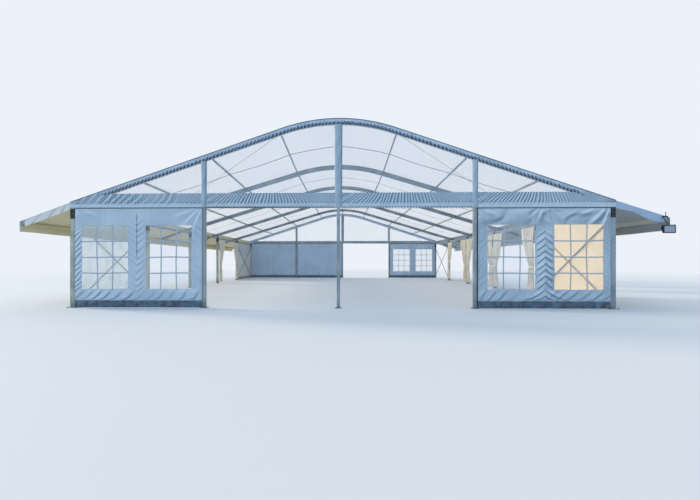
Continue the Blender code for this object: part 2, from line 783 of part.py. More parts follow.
def make_lamp(finish):
    """Floodlight housing, wide at its glass and drawn in at the back, with two pivot sockets."""
    name = "floodlight_head"
    pivot = lamp_pivot()
    front = pivot.y - LAMP_DEPTH / 2
    rim = front + LAMP_DEPTH / 3
    back = pivot.y + LAMP_DEPTH / 2
    rings = []
    for y, inset in ((front, 0.0), (rim, 0.0), (back, LAMP_BACK_INSET)):
        half_w = LAMP_WIDTH / 2 - inset
        half_h = LAMP_HEIGHT / 2 - inset
        corners = ((-half_w, -half_h), (half_w, -half_h), (half_w, half_h), (-half_w, half_h))
        rings.append([(u, y - pivot.y, v) for u, v in corners])
    body = loft(name, rings)
    centre = Vector((0, 0, 0))
    holes = []
    for way in (-1, 1):
        start = way * (LAMP_WIDTH / 2 - PIVOT_LENGTH - YOKE_CLEAR)
        end = way * LAMP_WIDTH
        holes.append(pivot_pin(start, end, centre, PIVOT_RADIUS + PIVOT_PLAY))
    return new_object(name, cut(name, body, *holes), finish, pivot)


def make_marquee():
    clear_scene()
    finishes = make_materials()
    for number, y in enumerate(FRAMES, start=1):
        make_rafter(number, y, finishes["aluminium"])
        for side_name, side in SIDES.items():
            make_leg(side_name, side, number, y, finishes["aluminium"])
    make_purlins(finishes["aluminium"])
    make_eave_purlins(finishes["aluminium"])
    for number in range(1, BAYS + 1):
        make_cover(number, finishes["clear"])
    for end_name, end in gable_planes():
        make_gable_frame(end_name, end, finishes["aluminium"])
        make_gable_sheet(end_name, end, finishes["clear"])
    for side_name, side in SIDES.items():
        make_awning_rail(side_name, side, finishes["aluminium"])
        make_awning_canopy(side_name, side, finishes["awning"])
        make_awning_valance(side_name, side, finishes["awning"])
        for bay in (1, BAYS):
            make_brace(side_name, side, bay, finishes["steel"])
    make_window_wall("front_wall_left", -1, 0, finishes["white"])
    make_window_wall("front_wall_right", -1, 3, finishes["white"])
    make_window_wall("rear_wall_right", 1, 3, finishes["white"])
    make_glazing("front_glazing_left", -1, -1, finishes["clear"])
    make_glazing("front_glazing_right", -1, 1, finishes["clear"])
    make_glazing("rear_glazing_right", 1, 1, finishes["clear"])
    make_plain_wall("rear_wall_left_outer", 1, 0, finishes["white"])
    make_plain_wall("rear_wall_left_inner", 1, 1, finishes["white"])
    make_side_wall("right", 1, 1, finishes["white"])
    make_side_wall("left", -1, BAYS, finishes["white"])
    both_sides = [(1, 1), (2, -1), (2, 1), (3, -1), (3, 1), (4, -1)]
    make_curtains("right", 1, both_sides, finishes["cream"])
    make_curtains("left", -1, [(3, 1), (4, -1)], finishes["cream"])
    make_lamp_yoke(finishes["steel"])
    make_lamp(finishes["lamp"])


make_marquee()
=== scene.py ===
import math

import bpy
import mathutils
import numpy as np
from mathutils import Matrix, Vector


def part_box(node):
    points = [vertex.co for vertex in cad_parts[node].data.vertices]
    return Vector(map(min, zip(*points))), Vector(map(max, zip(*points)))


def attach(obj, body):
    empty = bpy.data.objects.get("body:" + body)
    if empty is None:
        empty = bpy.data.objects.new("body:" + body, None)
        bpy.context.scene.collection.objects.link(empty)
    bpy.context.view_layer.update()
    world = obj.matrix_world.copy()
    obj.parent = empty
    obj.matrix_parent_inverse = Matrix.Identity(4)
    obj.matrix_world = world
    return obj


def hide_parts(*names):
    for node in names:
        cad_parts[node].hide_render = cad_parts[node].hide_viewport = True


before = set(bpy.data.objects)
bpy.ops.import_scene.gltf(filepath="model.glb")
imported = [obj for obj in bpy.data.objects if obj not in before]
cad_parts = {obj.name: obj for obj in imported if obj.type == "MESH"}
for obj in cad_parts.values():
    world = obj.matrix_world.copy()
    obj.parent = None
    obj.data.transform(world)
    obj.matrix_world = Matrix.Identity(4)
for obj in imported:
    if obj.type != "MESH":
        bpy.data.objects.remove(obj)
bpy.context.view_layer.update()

# Aluminium frames
# Rafters, legs, purlins, gable frames and awning rails are extruded aluminium with keder grooves.
# They are bolted together on the ground; years of hire have left drawn-out scratches, dull oxide
# and grime at the feet, and the knees are clasped by dark steel plates.
KNEE = (3.33, 3.70)
GRIME_TOP = 0.55
SCRATCHES = {"along": 1.5, "across": 70.0}


def screen_colour(red, green, blue):
    """Linear colour, with alpha, of one given as a screen shows it, each channel up to 255."""
    seen = np.array([red, green, blue]) / 255
    linear = np.where(seen > 0.04045, ((seen + 0.055) / 1.055) ** 2.4, seen / 12.92)
    return (*linear.tolist(), 1.0)


class Wire:
    """One output of a tree's nodes: sums and products written on it become Math nodes."""

    def __init__(self, nodes, socket):
        self.nodes = nodes
        self.socket = socket

    def __add__(self, other):
        return self.nodes.sum("ADD", self, other)

    __radd__ = __add__

    def __sub__(self, other):
        return self.nodes.sum("SUBTRACT", self, other)

    def __rsub__(self, other):
        return self.nodes.sum("SUBTRACT", other, self)

    def __mul__(self, other):
        return self.nodes.sum("MULTIPLY", self, other)

    __rmul__ = __mul__

    def __abs__(self):
        return self.nodes.sum("ABSOLUTE", self)


class Nodes:
    """The nodes of one tree, added and joined by calls."""

    def __init__(self, tree):
        self.tree = tree

    def feed(self, socket, value):
        """Joins a wire to a socket, or sets the number or colour it holds."""
        if isinstance(value, Wire):
            self.tree.links.new(value.socket, socket)
        else:
            socket.default_value = value

    def node(self, kind, settings=(), sockets=(), output=0):
        """Adds a node, sets it up, fills its sockets with numbers or wires, gives one output."""
        made = self.tree.nodes.new("ShaderNode" + kind)
        for name, value in dict(settings).items():
            setattr(made, name, value)
        for name, value in dict(sockets).items():
            self.feed(made.inputs[name], value)
        return Wire(self, made.outputs[output])

    def sum(self, operation, *values):
        """Result of one sum on numbers and wires, named as the Math node names it."""
        return self.node("Math", {"operation": operation}, dict(enumerate(values)))

    def place(self):
        """Where a point lies on the tent, in metres."""
        return self.node("TexCoord", output="Object")

    def mark(self):
        """Where a point lies on its own cloth or bar, in metres: X across, Y along."""
        return self.node("UVMap", {"uv_map": "cloth"})

    def part(self, vector, axis):
        """One axis of a vector, by its letter."""
        return self.node("SeparateXYZ", sockets={0: vector}, output=axis)

    def noise(self, where, scale, detail=3.0, stretch=(1, 1, 1)):
        """Cloudy value round one half, finer across the axes that are stretched more."""
        spread = self.node("VectorMath", {"operation": "MULTIPLY"}, {0: where, 1: stretch})
        return self.node("TexNoise", sockets={"Vector": spread, "Scale": scale, "Detail": detail})

    def band(self, value, low, high):
        """0 at low, 1 at high and a smooth rise between them."""
        sockets = {"Value": value, "From Min": low, "From Max": high}
        return self.node("MapRange", {"interpolation_type": "SMOOTHSTEP"}, sockets)

    def tint(self, share, under, over):
        """One colour laid over another by a share from 0 to 1."""
        return self.node("Mix", {"data_type": "RGBA"}, {0: share, 6: under, 7: over}, 2)


class Finish(Nodes):
    """A material of nodes round one Principled shader, with its fixed sockets given as numbers."""

    def __init__(self, name, fixed=()):
        self.material = bpy.data.materials.new(name)
        self.material.use_nodes = True
        super().__init__(self.material.node_tree)
        self.shader = self.tree.nodes["Principled BSDF"]
        for socket, value in dict(fixed).items():
            self.shader.inputs[socket].default_value = value

    def wear(self, colour, roughness, height=None, depth=0.0, alpha=None):
        """Feeds the shader; height is a relief from 0 to 1 and depth its size in metres."""
        self.colour = colour
        self.feed(self.shader.inputs["Base Color"], colour)
        self.feed(self.shader.inputs["Roughness"], roughness)
        if height is not None:
            relief = self.node("Bump", sockets={"Height": height, "Distance": depth})
            self.feed(self.shader.inputs["Normal"], relief)
        if alpha is not None:
            self.feed(self.shader.inputs["Alpha"], alpha)
        return self

    def glow_through(self, share, colour):
        """Lets a fixed share of the light behind a cloth come through it."""
        glow = self.node("BsdfTranslucent", sockets={"Color": colour})
        solid = Wire(self, self.shader.outputs[0])
        both = self.node("MixShader", sockets={0: share, 1: solid, 2: glow})
        self.tree.links.new(both.socket, self.tree.nodes["Material Output"].inputs["Surface"])
        return self


def aluminium(name, along, light, dark):
    """Dull extrusion whose die lines and scratches are drawn out along one axis."""
    metal = Finish(name, {"Metallic": 0.55, "Specular IOR Level": 0.5})
    where = metal.place()
    stretch = [SCRATCHES["along" if axis == along else "across"] for axis in "XYZ"]
    lines = metal.noise(where, 1.0, 4.0, stretch)
    cloud = metal.noise(where, 1.7, 5.0)
    height = metal.part(where, "Z")
    grime = metal.band(height, GRIME_TOP, 0.0) * metal.band(metal.noise(where, 14.0, 5.0), 0.3, 0.75)
    bright = metal.band(cloud + 0.35 * lines, 0.45, 0.95)
    worn = metal.tint(bright, screen_colour(*dark), screen_colour(*light))
    colour = metal.tint(0.7 * grime, worn, screen_colour(92, 88, 74))
    return metal.wear(colour, 0.34 + 0.16 * cloud + 0.1 * lines + 0.2 * grime, lines, 0.0004)


def dress(nodes, finish):
    """Gives the finish to nodes of the frame, which keep their own meshes."""
    for node in nodes:
        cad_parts[node].material_slots[0].material = finish.material


def leg_finish(name, light, dark):
    """Leg extrusion with dark steel plates round the knee."""
    metal = aluminium(name, "Z", light, dark)
    height = metal.part(metal.place(), "Z")
    low, high = KNEE
    knee = metal.band(height, low - 0.004, low) * metal.band(height, high + 0.004, high)
    scuff = metal.band(metal.noise(metal.place(), 30.0, 4.0), 0.45, 0.7)
    steel = metal.tint(0.5 * scuff, screen_colour(48, 52, 55), screen_colour(92, 94, 92))
    metal.feed(metal.shader.inputs["Base Color"], metal.tint(knee, metal.colour, steel))
    return metal


FRAME_COUNT = 6
SIDES = {"left": -1, "right": 1}
rafters = [f"rafter_{number}" for number in range(1, FRAME_COUNT + 1)]
legs = [f"leg_{side}_{number}" for side in SIDES for number in range(1, FRAME_COUNT + 1)]
purlins = ["ridge_purlin"] + [f"purlin_{side}_{k}" for side in SIDES for k in (1, 2, 3)]
rafter_metal = aluminium("rafter_aluminium", "X", (166, 174, 176), (126, 134, 138))
# The gable rafters' aluminium is painted lighter and bluer than the inner rafters' to stand for the sky
# light on their outer faces.
sky_lit_gable_rafters_metal = aluminium("sky_lit_gable_rafters_aluminium", "X", (204, 216, 228), (170, 184, 198))
purlin_metal = aluminium("purlin_aluminium", "Y", (164, 172, 180), (122, 132, 140))
upright_metal = aluminium("upright_aluminium", "Z", (176, 184, 186), (138, 146, 150))
dress(rafters[1:-1], rafter_metal)
dress([rafters[0], rafters[-1]], sky_lit_gable_rafters_metal)
# Painted light: the left legs take a lighter, warmer copy of the leg aluminium for the low sun on them, the
# right legs a bluer copy for shade.
dress(legs[:FRAME_COUNT], leg_finish("sunlit_left_legs_aluminium", (201, 204, 186), (155, 162, 152)))
dress(legs[FRAME_COUNT:], leg_finish("shaded_right_legs_aluminium", (168, 180, 188), (128, 142, 153)))
dress(purlins + ["eave_purlin_left", "eave_purlin_right"], purlin_metal)
rail_metal = aluminium("rail_aluminium", "Y", (196, 198, 194), (150, 154, 154))
dress(["awning_rail_left", "awning_rail_right"], rail_metal)
dress(["front_gable_frame", "rear_gable_frame"], upright_metal)

# Joint plates, bolts and ground pins
# Zinc-plated steel: collars where each purlin meets a rafter, bolts through the knee plates and the
# crown joints, and pins with broad heads that hold the feet to the ground. A dark rubber cap runs over
# each gable rafter.
PITCHES = np.radians([18.78, 16.8, 16.8, 16.8, 16.8, 18.05])
CROWN_HALF = 2.1
EAVE = 3.938
BAY = 5.0
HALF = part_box("roof_cover_1")[1].x
LEG_X = sum(corner.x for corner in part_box("leg_right_1")) / 2
LEG_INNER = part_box("front_wall_right")[1].x
FRAME_LINES = [sum(corner.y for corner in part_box(rafter)) / 2 for rafter in rafters]
PURLIN_LINES = [-7.5, -4.85, -2.2, 0.0, 2.2, 4.85, 7.5]
PURLIN_MIDDLE = 0.058
RAFTER_HALF = 0.056
RAFTER_DEEP = 0.203
KNEE_PLATE_FACE = 0.0638
KNEE_BOLT_HEIGHTS = (3.385, 3.515, 3.645)
CROWN_BOLT_LINES = np.array([2.74, 2.92, 3.10])
CROWN_BOLT_DEPTH = 0.1
COLLAR_THICK = 0.007
CAP = {"width": 0.11, "height": 0.028, "rise": 0.0145}
POST_LINES = (-5.0, 0.0, 5.0)
POST_Y = 12.4997
FOOT_PLATE_TOP = 0.012


def frame_z(x, pitch):
    """Height of one frame's roof line: an arc over the crown, straight slopes that touch it."""
    reach = np.abs(x)
    radius = CROWN_HALF / np.sin(pitch)
    shoulder = EAVE + (HALF - CROWN_HALF) * np.tan(pitch)
    arc = shoulder - radius * np.cos(pitch) + np.sqrt(np.maximum(radius ** 2 - reach ** 2, 0))
    return np.where(reach < CROWN_HALF, arc, EAVE + (HALF - reach) * np.tan(pitch))


def roof_z(x, y):
    """Height of the roof: the frames' own lines, joined straight from rafter to rafter."""
    place = np.clip((y - FRAME_LINES[0]) / BAY, 0, len(FRAME_LINES) - 1.000001)
    near = np.floor(place).astype(int)
    share = np.clip(((place - near) * BAY - RAFTER_HALF) / (BAY - 2 * RAFTER_HALF), 0, 1)
    return (1 - share) * frame_z(x, PITCHES[near]) + share * frame_z(x, PITCHES[near + 1])


def roof_lean(x, y):
    """Angle at x from the upright to the roof's normal, positive to the right of the ridge."""
    pitch = np.interp(y, FRAME_LINES, PITCHES)
    return np.arcsin(np.clip(x, -CROWN_HALF, CROWN_HALF) / CROWN_HALF * np.sin(pitch))


def below_roof(x, y, depth):
    """Points (x, z) that lie the given depth under the roof line at y, square to it."""
    lean = roof_lean(x, y)
    return x - np.sin(lean) * depth, roof_z(x, y) - np.cos(lean) * depth


def grid_quads(rows, columns, ring=False):
    """Corner numbers of the squares of a grid whose points are counted row by row."""
    number = np.arange(rows * columns).reshape(rows, columns)
    if ring:
        number = np.hstack((number, number[:, :1]))
    return np.stack((number[:-1, :-1], number[:-1, 1:], number[1:, 1:], number[1:, :-1]), axis=-1)


class Shape:
    """Points, the squares and caps between them, and each point's place on its cloth or bar."""

    def __init__(self, points, quads, caps=(), marks=None):
        self.points = np.asarray(points, float).reshape(-1, 3)
        self.quads = np.asarray(quads).reshape(-1, 4)
        self.caps = [list(cap) for cap in caps]
        self.marks = self.points[:, :2] if marks is None else np.asarray(marks).reshape(-1, 2)

    def copies(self, places, turns=None):
        """One copy at each place, turned first by its own 3 x 3 matrix where turns are given."""
        places = np.asarray(places, float).reshape(-1, 1, 3)
        count = len(places)
        turns = np.broadcast_to(np.eye(3), (count, 3, 3)) if turns is None else np.asarray(turns)
        points = np.einsum("nij,kj->nki", turns, self.points) + places
        step = len(self.points)
        quads = self.quads[None] + step * np.arange(count)[:, None, None]
        caps = [[corner + step * k for corner in cap] for k in range(count) for cap in self.caps]
        return Shape(points, quads, caps, np.tile(self.marks, (count, 1)))


def carried(path, outline, up=(0, 0, 1)):
    """Outline of (aside, above) points, counter-clockwise, carried along a path and capped.

    A point is the path's own plus aside times (up x direction) plus above times the third axis.
    An outline with a leading axis gives each point of the path an outline of its own.
    """
    path = np.asarray(path, float)
    outline = np.broadcast_to(outline, (len(path),) + np.shape(outline)[-2:])
    step = np.linalg.norm(np.diff(path, axis=0), axis=1)
    along = np.gradient(path, axis=0)
    along /= np.linalg.norm(along, axis=1, keepdims=True)
    side = np.cross(up, along)
    side /= np.linalg.norm(side, axis=1, keepdims=True)
    top = np.cross(along, side)
    points = path[:, None] + side[:, None] * outline[..., :1] + top[:, None] * outline[..., 1:]
    rows, columns = points.shape[:2]
    ring = np.arange(columns)
    caps = [ring[::-1].tolist(), (ring + (rows - 1) * columns).tolist()]
    far = np.concatenate(([0], np.cumsum(step)))
    girth = np.linspace(0, 1, columns) * np.abs(outline[0]).max() * 4
    marks = np.stack(np.broadcast_arrays(girth[None], far[:, None]), axis=-1)
    return Shape(points, grid_quads(rows, columns, ring=True), caps, marks)


def circle(radius, sides):
    """Round outline, or an even polygon of that many sides."""
    angle = np.arange(sides) * math.tau / sides
    return radius * np.stack((np.cos(angle), np.sin(angle)), axis=-1)


def rounded(width, height, radius, steps=2):
    """Rectangle outline with quarter-round corners, counter-clockwise from the right."""
    angle = np.linspace(0, math.pi / 2, steps + 1)
    turn = angle[None] + np.arange(4)[:, None] * math.pi / 2
    corner = np.array([(1, 1), (-1, 1), (-1, -1), (1, -1)]) * (width / 2 - radius, height / 2 - radius)
    arc = radius * np.stack((np.cos(turn), np.sin(turn)), axis=-1)
    return (corner[:, None] + arc).reshape(-1, 2)


def bar(start, end, outline, up=(0, 0, 1)):
    """Straight piece of one section between two points."""
    return carried([start, end], outline, up)


def make_piece(name, shapes, finish, slot, body="marquee", stands_for=(), crease=35):
    """One object from shapes, smooth up to the crease angle, riding on a body."""
    starts = np.cumsum([0] + [len(shape.points) for shape in shapes])
    faces = []
    for start, shape in zip(starts, shapes):
        faces += (shape.quads + start).tolist()
        faces += [[corner + int(start) for corner in cap] for cap in shape.caps]
    mesh = bpy.data.meshes.new(name)
    mesh.from_pydata(np.vstack([shape.points for shape in shapes]).tolist(), [], faces)
    corners = np.empty(len(mesh.loops), dtype=int)
    mesh.loops.foreach_get("vertex_index", corners)
    marks = np.vstack([shape.marks for shape in shapes])[corners]
    mesh.uv_layers.new(name="cloth").data.foreach_set("uv", marks.ravel())
    mesh.shade_smooth()
    mesh.set_sharp_from_angle(angle=math.radians(crease))
    mesh.materials.append(finish.material)
    piece = bpy.data.objects.new(name, mesh)
    bpy.context.scene.collection.objects.link(piece)
    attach(piece, body)
    if stands_for:
        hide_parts(*stands_for)
    return piece


def hex_head(radius, height):
    """Bolt head that stands along +Y, with its top edge drawn in."""
    reach = np.array([0.0, 0.7, 1.0]) * height
    path = np.stack((np.zeros(3), reach, np.zeros(3)), axis=-1)
    outlines = [circle(radius, 6), circle(radius, 6), circle(radius * 0.78, 6)]
    return carried(path, outlines)


def both_ways(places, y_offset):
    """Places and turns for parts that stand out of both Y faces of a frame."""
    places = np.asarray(places, float)
    front = places - (0, y_offset, 0)
    rear = places + (0, y_offset, 0)
    flip = np.diag((-1.0, -1.0, 1.0))
    turns = [flip] * len(front) + [np.eye(3)] * len(rear)
    return np.vstack((front, rear)), turns


zinc = Finish("zinc_plate", {"Metallic": 0.8})
spots = zinc.noise(zinc.place(), 22.0, 5.0)
rust = zinc.band(zinc.noise(zinc.place(), 48.0, 4.0), 0.62, 0.78)
plated = zinc.tint(spots, screen_colour(96, 100, 102), screen_colour(150, 154, 156))
zinc.wear(zinc.tint(0.6 * rust, plated, screen_colour(112, 74, 48)), 0.38 + 0.3 * spots, spots, 0.0006)

knee_bolts = [(side * (LEG_X + dx), y, z) for side in SIDES.values() for y in FRAME_LINES
              for dx in (-0.045, 0.045) for z in KNEE_BOLT_HEIGHTS]
knee_head = hex_head(0.016, 0.012)
make_piece("knee_bolts", [knee_head.copies(*both_ways(knee_bolts, KNEE_PLATE_FACE))], zinc, "steel")

crown_bolts = []
for y in FRAME_LINES[1:-1]:
    joint_x, joint_z = below_roof(CROWN_BOLT_LINES, y, CROWN_BOLT_DEPTH)
    crown_bolts += [(side * x, y, z) for side in SIDES.values() for x, z in zip(joint_x, joint_z)]
crown_head = hex_head(0.014, 0.011)
make_piece("crown_bolts", [crown_head.copies(*both_ways(crown_bolts, RAFTER_HALF - 0.0002))], zinc, "steel")


def collar_turn(x, y):
    """Turn about Y that lays a collar square to the roof."""
    lean = float(roof_lean(x, y))
    sine, cosine = math.sin(lean), math.cos(lean)
    return np.array([[cosine, 0, sine], [0, 1, 0], [-sine, 0, cosine]])


collar = bar((0, 0, 0), (0, COLLAR_THICK, 0), rounded(0.082, 0.1, 0.008))
collar_places = []
collar_turns = []
for line in PURLIN_LINES:
    for near, far in zip(FRAME_LINES, FRAME_LINES[1:]):
        for y, face in ((near, near + RAFTER_HALF), (far, far - RAFTER_HALF - COLLAR_THICK)):
            x, z = below_roof(line, y, PURLIN_MIDDLE)
            collar_places.append((x, face, z))
            collar_turns.append(collar_turn(line, y))
make_piece("purlin_collars", [collar.copies(collar_places, collar_turns)], zinc, "steel")

cap_finish = Finish("cap_rubber", {"Specular IOR Level": 0.3})
chalk = cap_finish.noise(cap_finish.place(), 2.6, 5.0, (1, 8, 8))
rubber = cap_finish.tint(chalk, screen_colour(58, 68, 80), screen_colour(98, 110, 124))
cap_finish.wear(rubber, 0.6, chalk, 0.001)
cap_x = np.linspace(-HALF, HALF, 161)
cap_strips = []
for y, pitch in ((FRAME_LINES[0], PITCHES[0]), (FRAME_LINES[-1], PITCHES[-1])):
    path = np.stack((cap_x, np.full_like(cap_x, y), frame_z(cap_x, pitch) + CAP["rise"]), axis=-1)
    cap_strips.append(carried(path, rounded(CAP["width"], CAP["height"], 0.008)))
make_piece("gable_rafter_caps", cap_strips, cap_finish, "white_pvc")

pin_heights, pin_radii = (0.0, 0.012, 0.014, 0.021, 0.026), (0.011, 0.011, 0.024, 0.024, 0.016)
pin_path = [(0, 0, height) for height in pin_heights]
ground_pin = carried(pin_path, [circle(radius, 10) for radius in pin_radii], up=(0, 1, 0))
pins = [(side * LEG_X + dx, y + dy, FOOT_PLATE_TOP) for side in SIDES.values() for y in FRAME_LINES
        for dx in (-0.145, 0.145) for dy in (-0.1, 0.1)]
for end in (-1, 1):
    pins += [(x + dx, end * POST_Y, FOOT_PLATE_TOP) for x in POST_LINES for dx in (-0.09, 0.09)]
make_piece("ground_pins", [ground_pin.copies(pins)], zinc, "steel")

# Wind cables in the roof
# Steel wire ropes run aslant under the clear sheets of the first and last bays, from the gable's crown
# to the next frame's eave, drawn tight by a turnbuckle and hooked to lugs on the rafters.
CABLE_RADIUS = 0.007
CABLE_DEPTH = 0.17
CABLE_ENDS = (2.3, 9.3)
BUCKLE = {"reach": (0.62, 0.60, 0.42, 0.40), "radius": (0.006, 0.014, 0.014, 0.006)}


def cable(high_x, low_x, high_y, low_y):
    """Rope from the crown down to the eave side, with its turnbuckle and a lug at each end."""
    top_x, top_z = below_roof(high_x, high_y, CABLE_DEPTH)
    foot_x, foot_z = below_roof(low_x, low_y, CABLE_DEPTH)
    top = np.array([top_x, high_y, top_z])
    foot = np.array([foot_x, low_y, foot_z])
    run = foot - top
    run /= np.linalg.norm(run)
    buckle = [foot - run * reach for reach in BUCKLE["reach"]]
    girths = [circle(radius, 8) for radius in BUCKLE["radius"]]
    plate = rounded(0.008, 0.05, 0.003)
    lugs = [bar(point - run * 0.05, point + run * 0.02, plate) for point in (top, foot)]
    return [bar(top, foot, circle(CABLE_RADIUS, 8)), carried(buckle, girths)] + lugs


cables = []
for end in (-1, 1):
    high_y = end * (FRAME_LINES[-1] - RAFTER_HALF)
    low_y = end * (FRAME_LINES[-2] + RAFTER_HALF)
    for side in SIDES.values():
        cables += cable(side * CABLE_ENDS[0], side * CABLE_ENDS[1], high_y, low_y)
make_piece("roof_cables", cables, zinc, "steel")

# Roof covers
# One sheet of clear PVC film a bay, slid into the rafters' grooves by a roped edge and welded down its
# middle. It sags between the rafters and the purlins, and kinks over each purlin.
FILM = 0.001
COVER_DEPTH = 0.004
PURLIN_SAG = 0.008
COVER_SAG = 0.045
COVER_FLAT = (4.95, 21.3)


def thicken(piece, thickness, offset=0.0):
    """Gives a cloth its thickness; an offset of -1 keeps its face, 0 swells it both ways."""
    solid = piece.modifiers.new("thickness", "SOLIDIFY")
    solid.thickness = thickness
    solid.offset = offset
    return piece


def clear_film(name, haze, edges, seam_at=None):
    """Clear PVC film, milky with use; opaque and grey where it is welded, at edges and seam."""
    film = Finish(name, {"IOR": 1.45, "Specular IOR Level": 0.45})
    where = film.place()
    across = film.part(film.mark(), "X")
    cloud = film.noise(where, 0.35, 3.0)
    smear = film.noise(where, 5.0, 4.0, (1, 1, 0.35))
    drops = film.band(film.noise(where, 60.0, 2.0), 0.66, 0.72)
    weld = film.band(across, edges + 0.004, edges)
    if seam_at is not None:
        weld = weld + film.band(abs(across - seam_at), 0.034, 0.03)
    veil = haze * (0.75 + 0.5 * cloud) + 0.02 * film.band(smear, 0.5, 0.8)
    alpha = film.sum("MINIMUM", veil + 0.05 * drops + 0.8 * weld, 1.0)
    colour = film.tint(weld, screen_colour(222, 230, 240), screen_colour(88, 106, 126))
    film.wear(colour, 0.06 + 0.12 * smear + 0.3 * weld, cloud + 0.15 * smear, 0.008, alpha)
    return film


def ripple(x, y, seed):
    """Slow uneven wander from about -1 to 1: three sines of unrelated lengths, added."""
    waves = np.sin(1.3 * x + 0.9 * y + seed) + np.sin(2.9 * x - 2.1 * y + 2.3 * seed)
    return (waves + np.sin(0.7 * x + 4.7 * y + 4.1 * seed)) / 3


SKYWARD = np.array([-0.45, -0.35, 0.82])


def fold_marks(points, gain=1.0, light=SKYWARD):
    """Share from 0 to 1 by which the cloth turns to the light at each point, and its height; the finishes
    paint shade and light into the colour from this share.
    """
    across = np.gradient(points, axis=1)
    along = np.gradient(points, axis=0)
    face = np.cross(across, along)
    face /= np.linalg.norm(face, axis=-1, keepdims=True)
    turned = face @ light
    share = np.clip(0.5 + gain * (turned - turned.mean()), 0, 1)
    return np.stack((share, points[..., 2]), axis=-1)


def make_sheet(name, shapes, finish, slot, flat, held, rests_on, thickness, area=None, **how):
    """One piece of cloth of its real thickness."""
    piece = thicken(make_piece(name, shapes, finish, slot, **how), thickness)
    return piece


def cloth(points, marks=None, keep=None):
    """A grid of points as one cloth; its face is on the side of columns x rows. Unless marks are given,
    each point is marked for painted shade by how it faces the light.
    """
    rows, columns = points.shape[:2]
    quads = grid_quads(rows, columns)
    marks = fold_marks(points) if marks is None else marks
    return Shape(points, quads if keep is None else quads[keep], (), marks)


def cover_points(near, far):
    """Roof line, less a sag that grows as sine away from the rafters and from the purlins.

    The marks are each point's way from the sheet's edge and from the ridge.
    """
    x = np.linspace(-HALF, HALF, 121)[None, :]
    y = np.linspace(near + RAFTER_HALF, far - RAFTER_HALF, 37)[:, None]
    share = (y - y[0]) / (y[-1] - y[0])
    belly = np.sin(math.pi * share) ** 0.8
    turn = np.interp(x, [-HALF] + PURLIN_LINES + [HALF], np.arange(len(PURLIN_LINES) + 2))
    between = np.abs(np.sin(math.pi * turn)) ** 0.9
    sag = COVER_DEPTH + belly * (PURLIN_SAG + COVER_SAG * between * (1 + 0.25 * ripple(x, y, near)))
    creases = 0.004 * belly * between * np.sin(17 * y + 3 * np.sin(2.2 * x) + near)
    x, y, z = np.broadcast_arrays(x, y, roof_z(x, y) - sag - creases)
    from_edge = np.minimum(y - near, far - y) - RAFTER_HALF
    marks = np.stack((from_edge, x), axis=-1)
    return np.stack((x, y, z), axis=-1), marks


roof_film = clear_film("roof_film", 0.13, 0.035, seam_at=BAY / 2 - RAFTER_HALF)
for bay, (near, far) in enumerate(zip(FRAME_LINES, FRAME_LINES[1:]), start=1):
    make_sheet(f"roof_sheet_{bay}", [cloth(*cover_points(near, far))], roof_film, "clear_pvc",
               flat=COVER_FLAT, held="stretched", rests_on=rafters[bay - 1:bay + 1], thickness=FILM,
               stands_for=[f"roof_cover_{bay}"])

# Gable panes
# The clear half of each gable cloth: one film from the white band up to the rafter's underside,
# stretched over the gable frame, with small puckers along its upper edge.
GABLE_FACE = FRAME_LINES[-1] + RAFTER_HALF
PANE_SETBACK = 0.003
PANE_REACH = 8.6
PANE_DROP = 2.6
PANE_LOW = {"front": 4.20, "rear": 3.94}
ENDS = {"front": -1, "rear": 1}


def pane_points(end, low):
    """Upright grid from the height low up to the rafter's underside, with shallow puckers.

    The marks are a metre more than each point's way down from the top, and its x.
    """
    x = end * np.linspace(PANE_REACH, -PANE_REACH, 161)[None, :]
    share = np.linspace(0, 1, 21)[:, None]
    frame_y = end * FRAME_LINES[-1]
    under = roof_z(x, frame_y) - RAFTER_DEEP / np.cos(roof_lean(x, frame_y))
    top = np.maximum(under, low + 0.02)
    z = low + share * (top - low)
    pucker = 0.003 * np.sin(23 * x + 3 * ripple(x, z, 1.0)) * share ** 3 + 0.006 * ripple(x, 2 * z, 2.0)
    x, y, z = np.broadcast_arrays(x, end * (GABLE_FACE - PANE_SETBACK + pucker), z)
    marks = np.stack(((1 - share) * (top - low) + 1, x), axis=-1)
    return np.stack((x, y, z), axis=-1), marks, float(np.mean(top - low))


pane_film = clear_film("gable_film", 0.09, 0.03)
for end_name, end in ENDS.items():
    points, marks, mean_height = pane_points(end, PANE_LOW[end_name])
    make_sheet(f"{end_name}_gable_pane", [cloth(points, marks)], pane_film, "clear_pvc",
               flat=(2 * PANE_REACH, PANE_DROP), held="stretched", rests_on=[f"{end_name}_gable_frame"],
               thickness=FILM, area=2 * PANE_REACH * mean_height, stands_for=[f"{end_name}_gable_sheet"])

# Gable bands, rafter flaps and upright sleeves
# White PVC cloth of the gables: a gathered band over the beam with a smooth hem below it, a puckered
# flap along the rafter's face, and sleeves laced round the uprights above the beam.
CLOTH = 0.0016
BAND_HEM = 3.87
BAND_BOTTOM = (3.735, 3.695)
BAND_TOP = 4.26
BAND_LIGHT = np.array([-0.75, -0.35, 0.56])
BAND_END = HALF - 0.01
REAR_BAND = {"hem": 3.84, "top": 3.97}
PLEATS_A_BAY = 40
PLEAT_LEAN = 0.2
FLAP_REACH = 9.0
FLAP_DEPTHS = (0.212, 0.084)
SLEEVE_WIDTHS = (0.20, 0.27, 0.20)
SLEEVE_LOW = 3.73


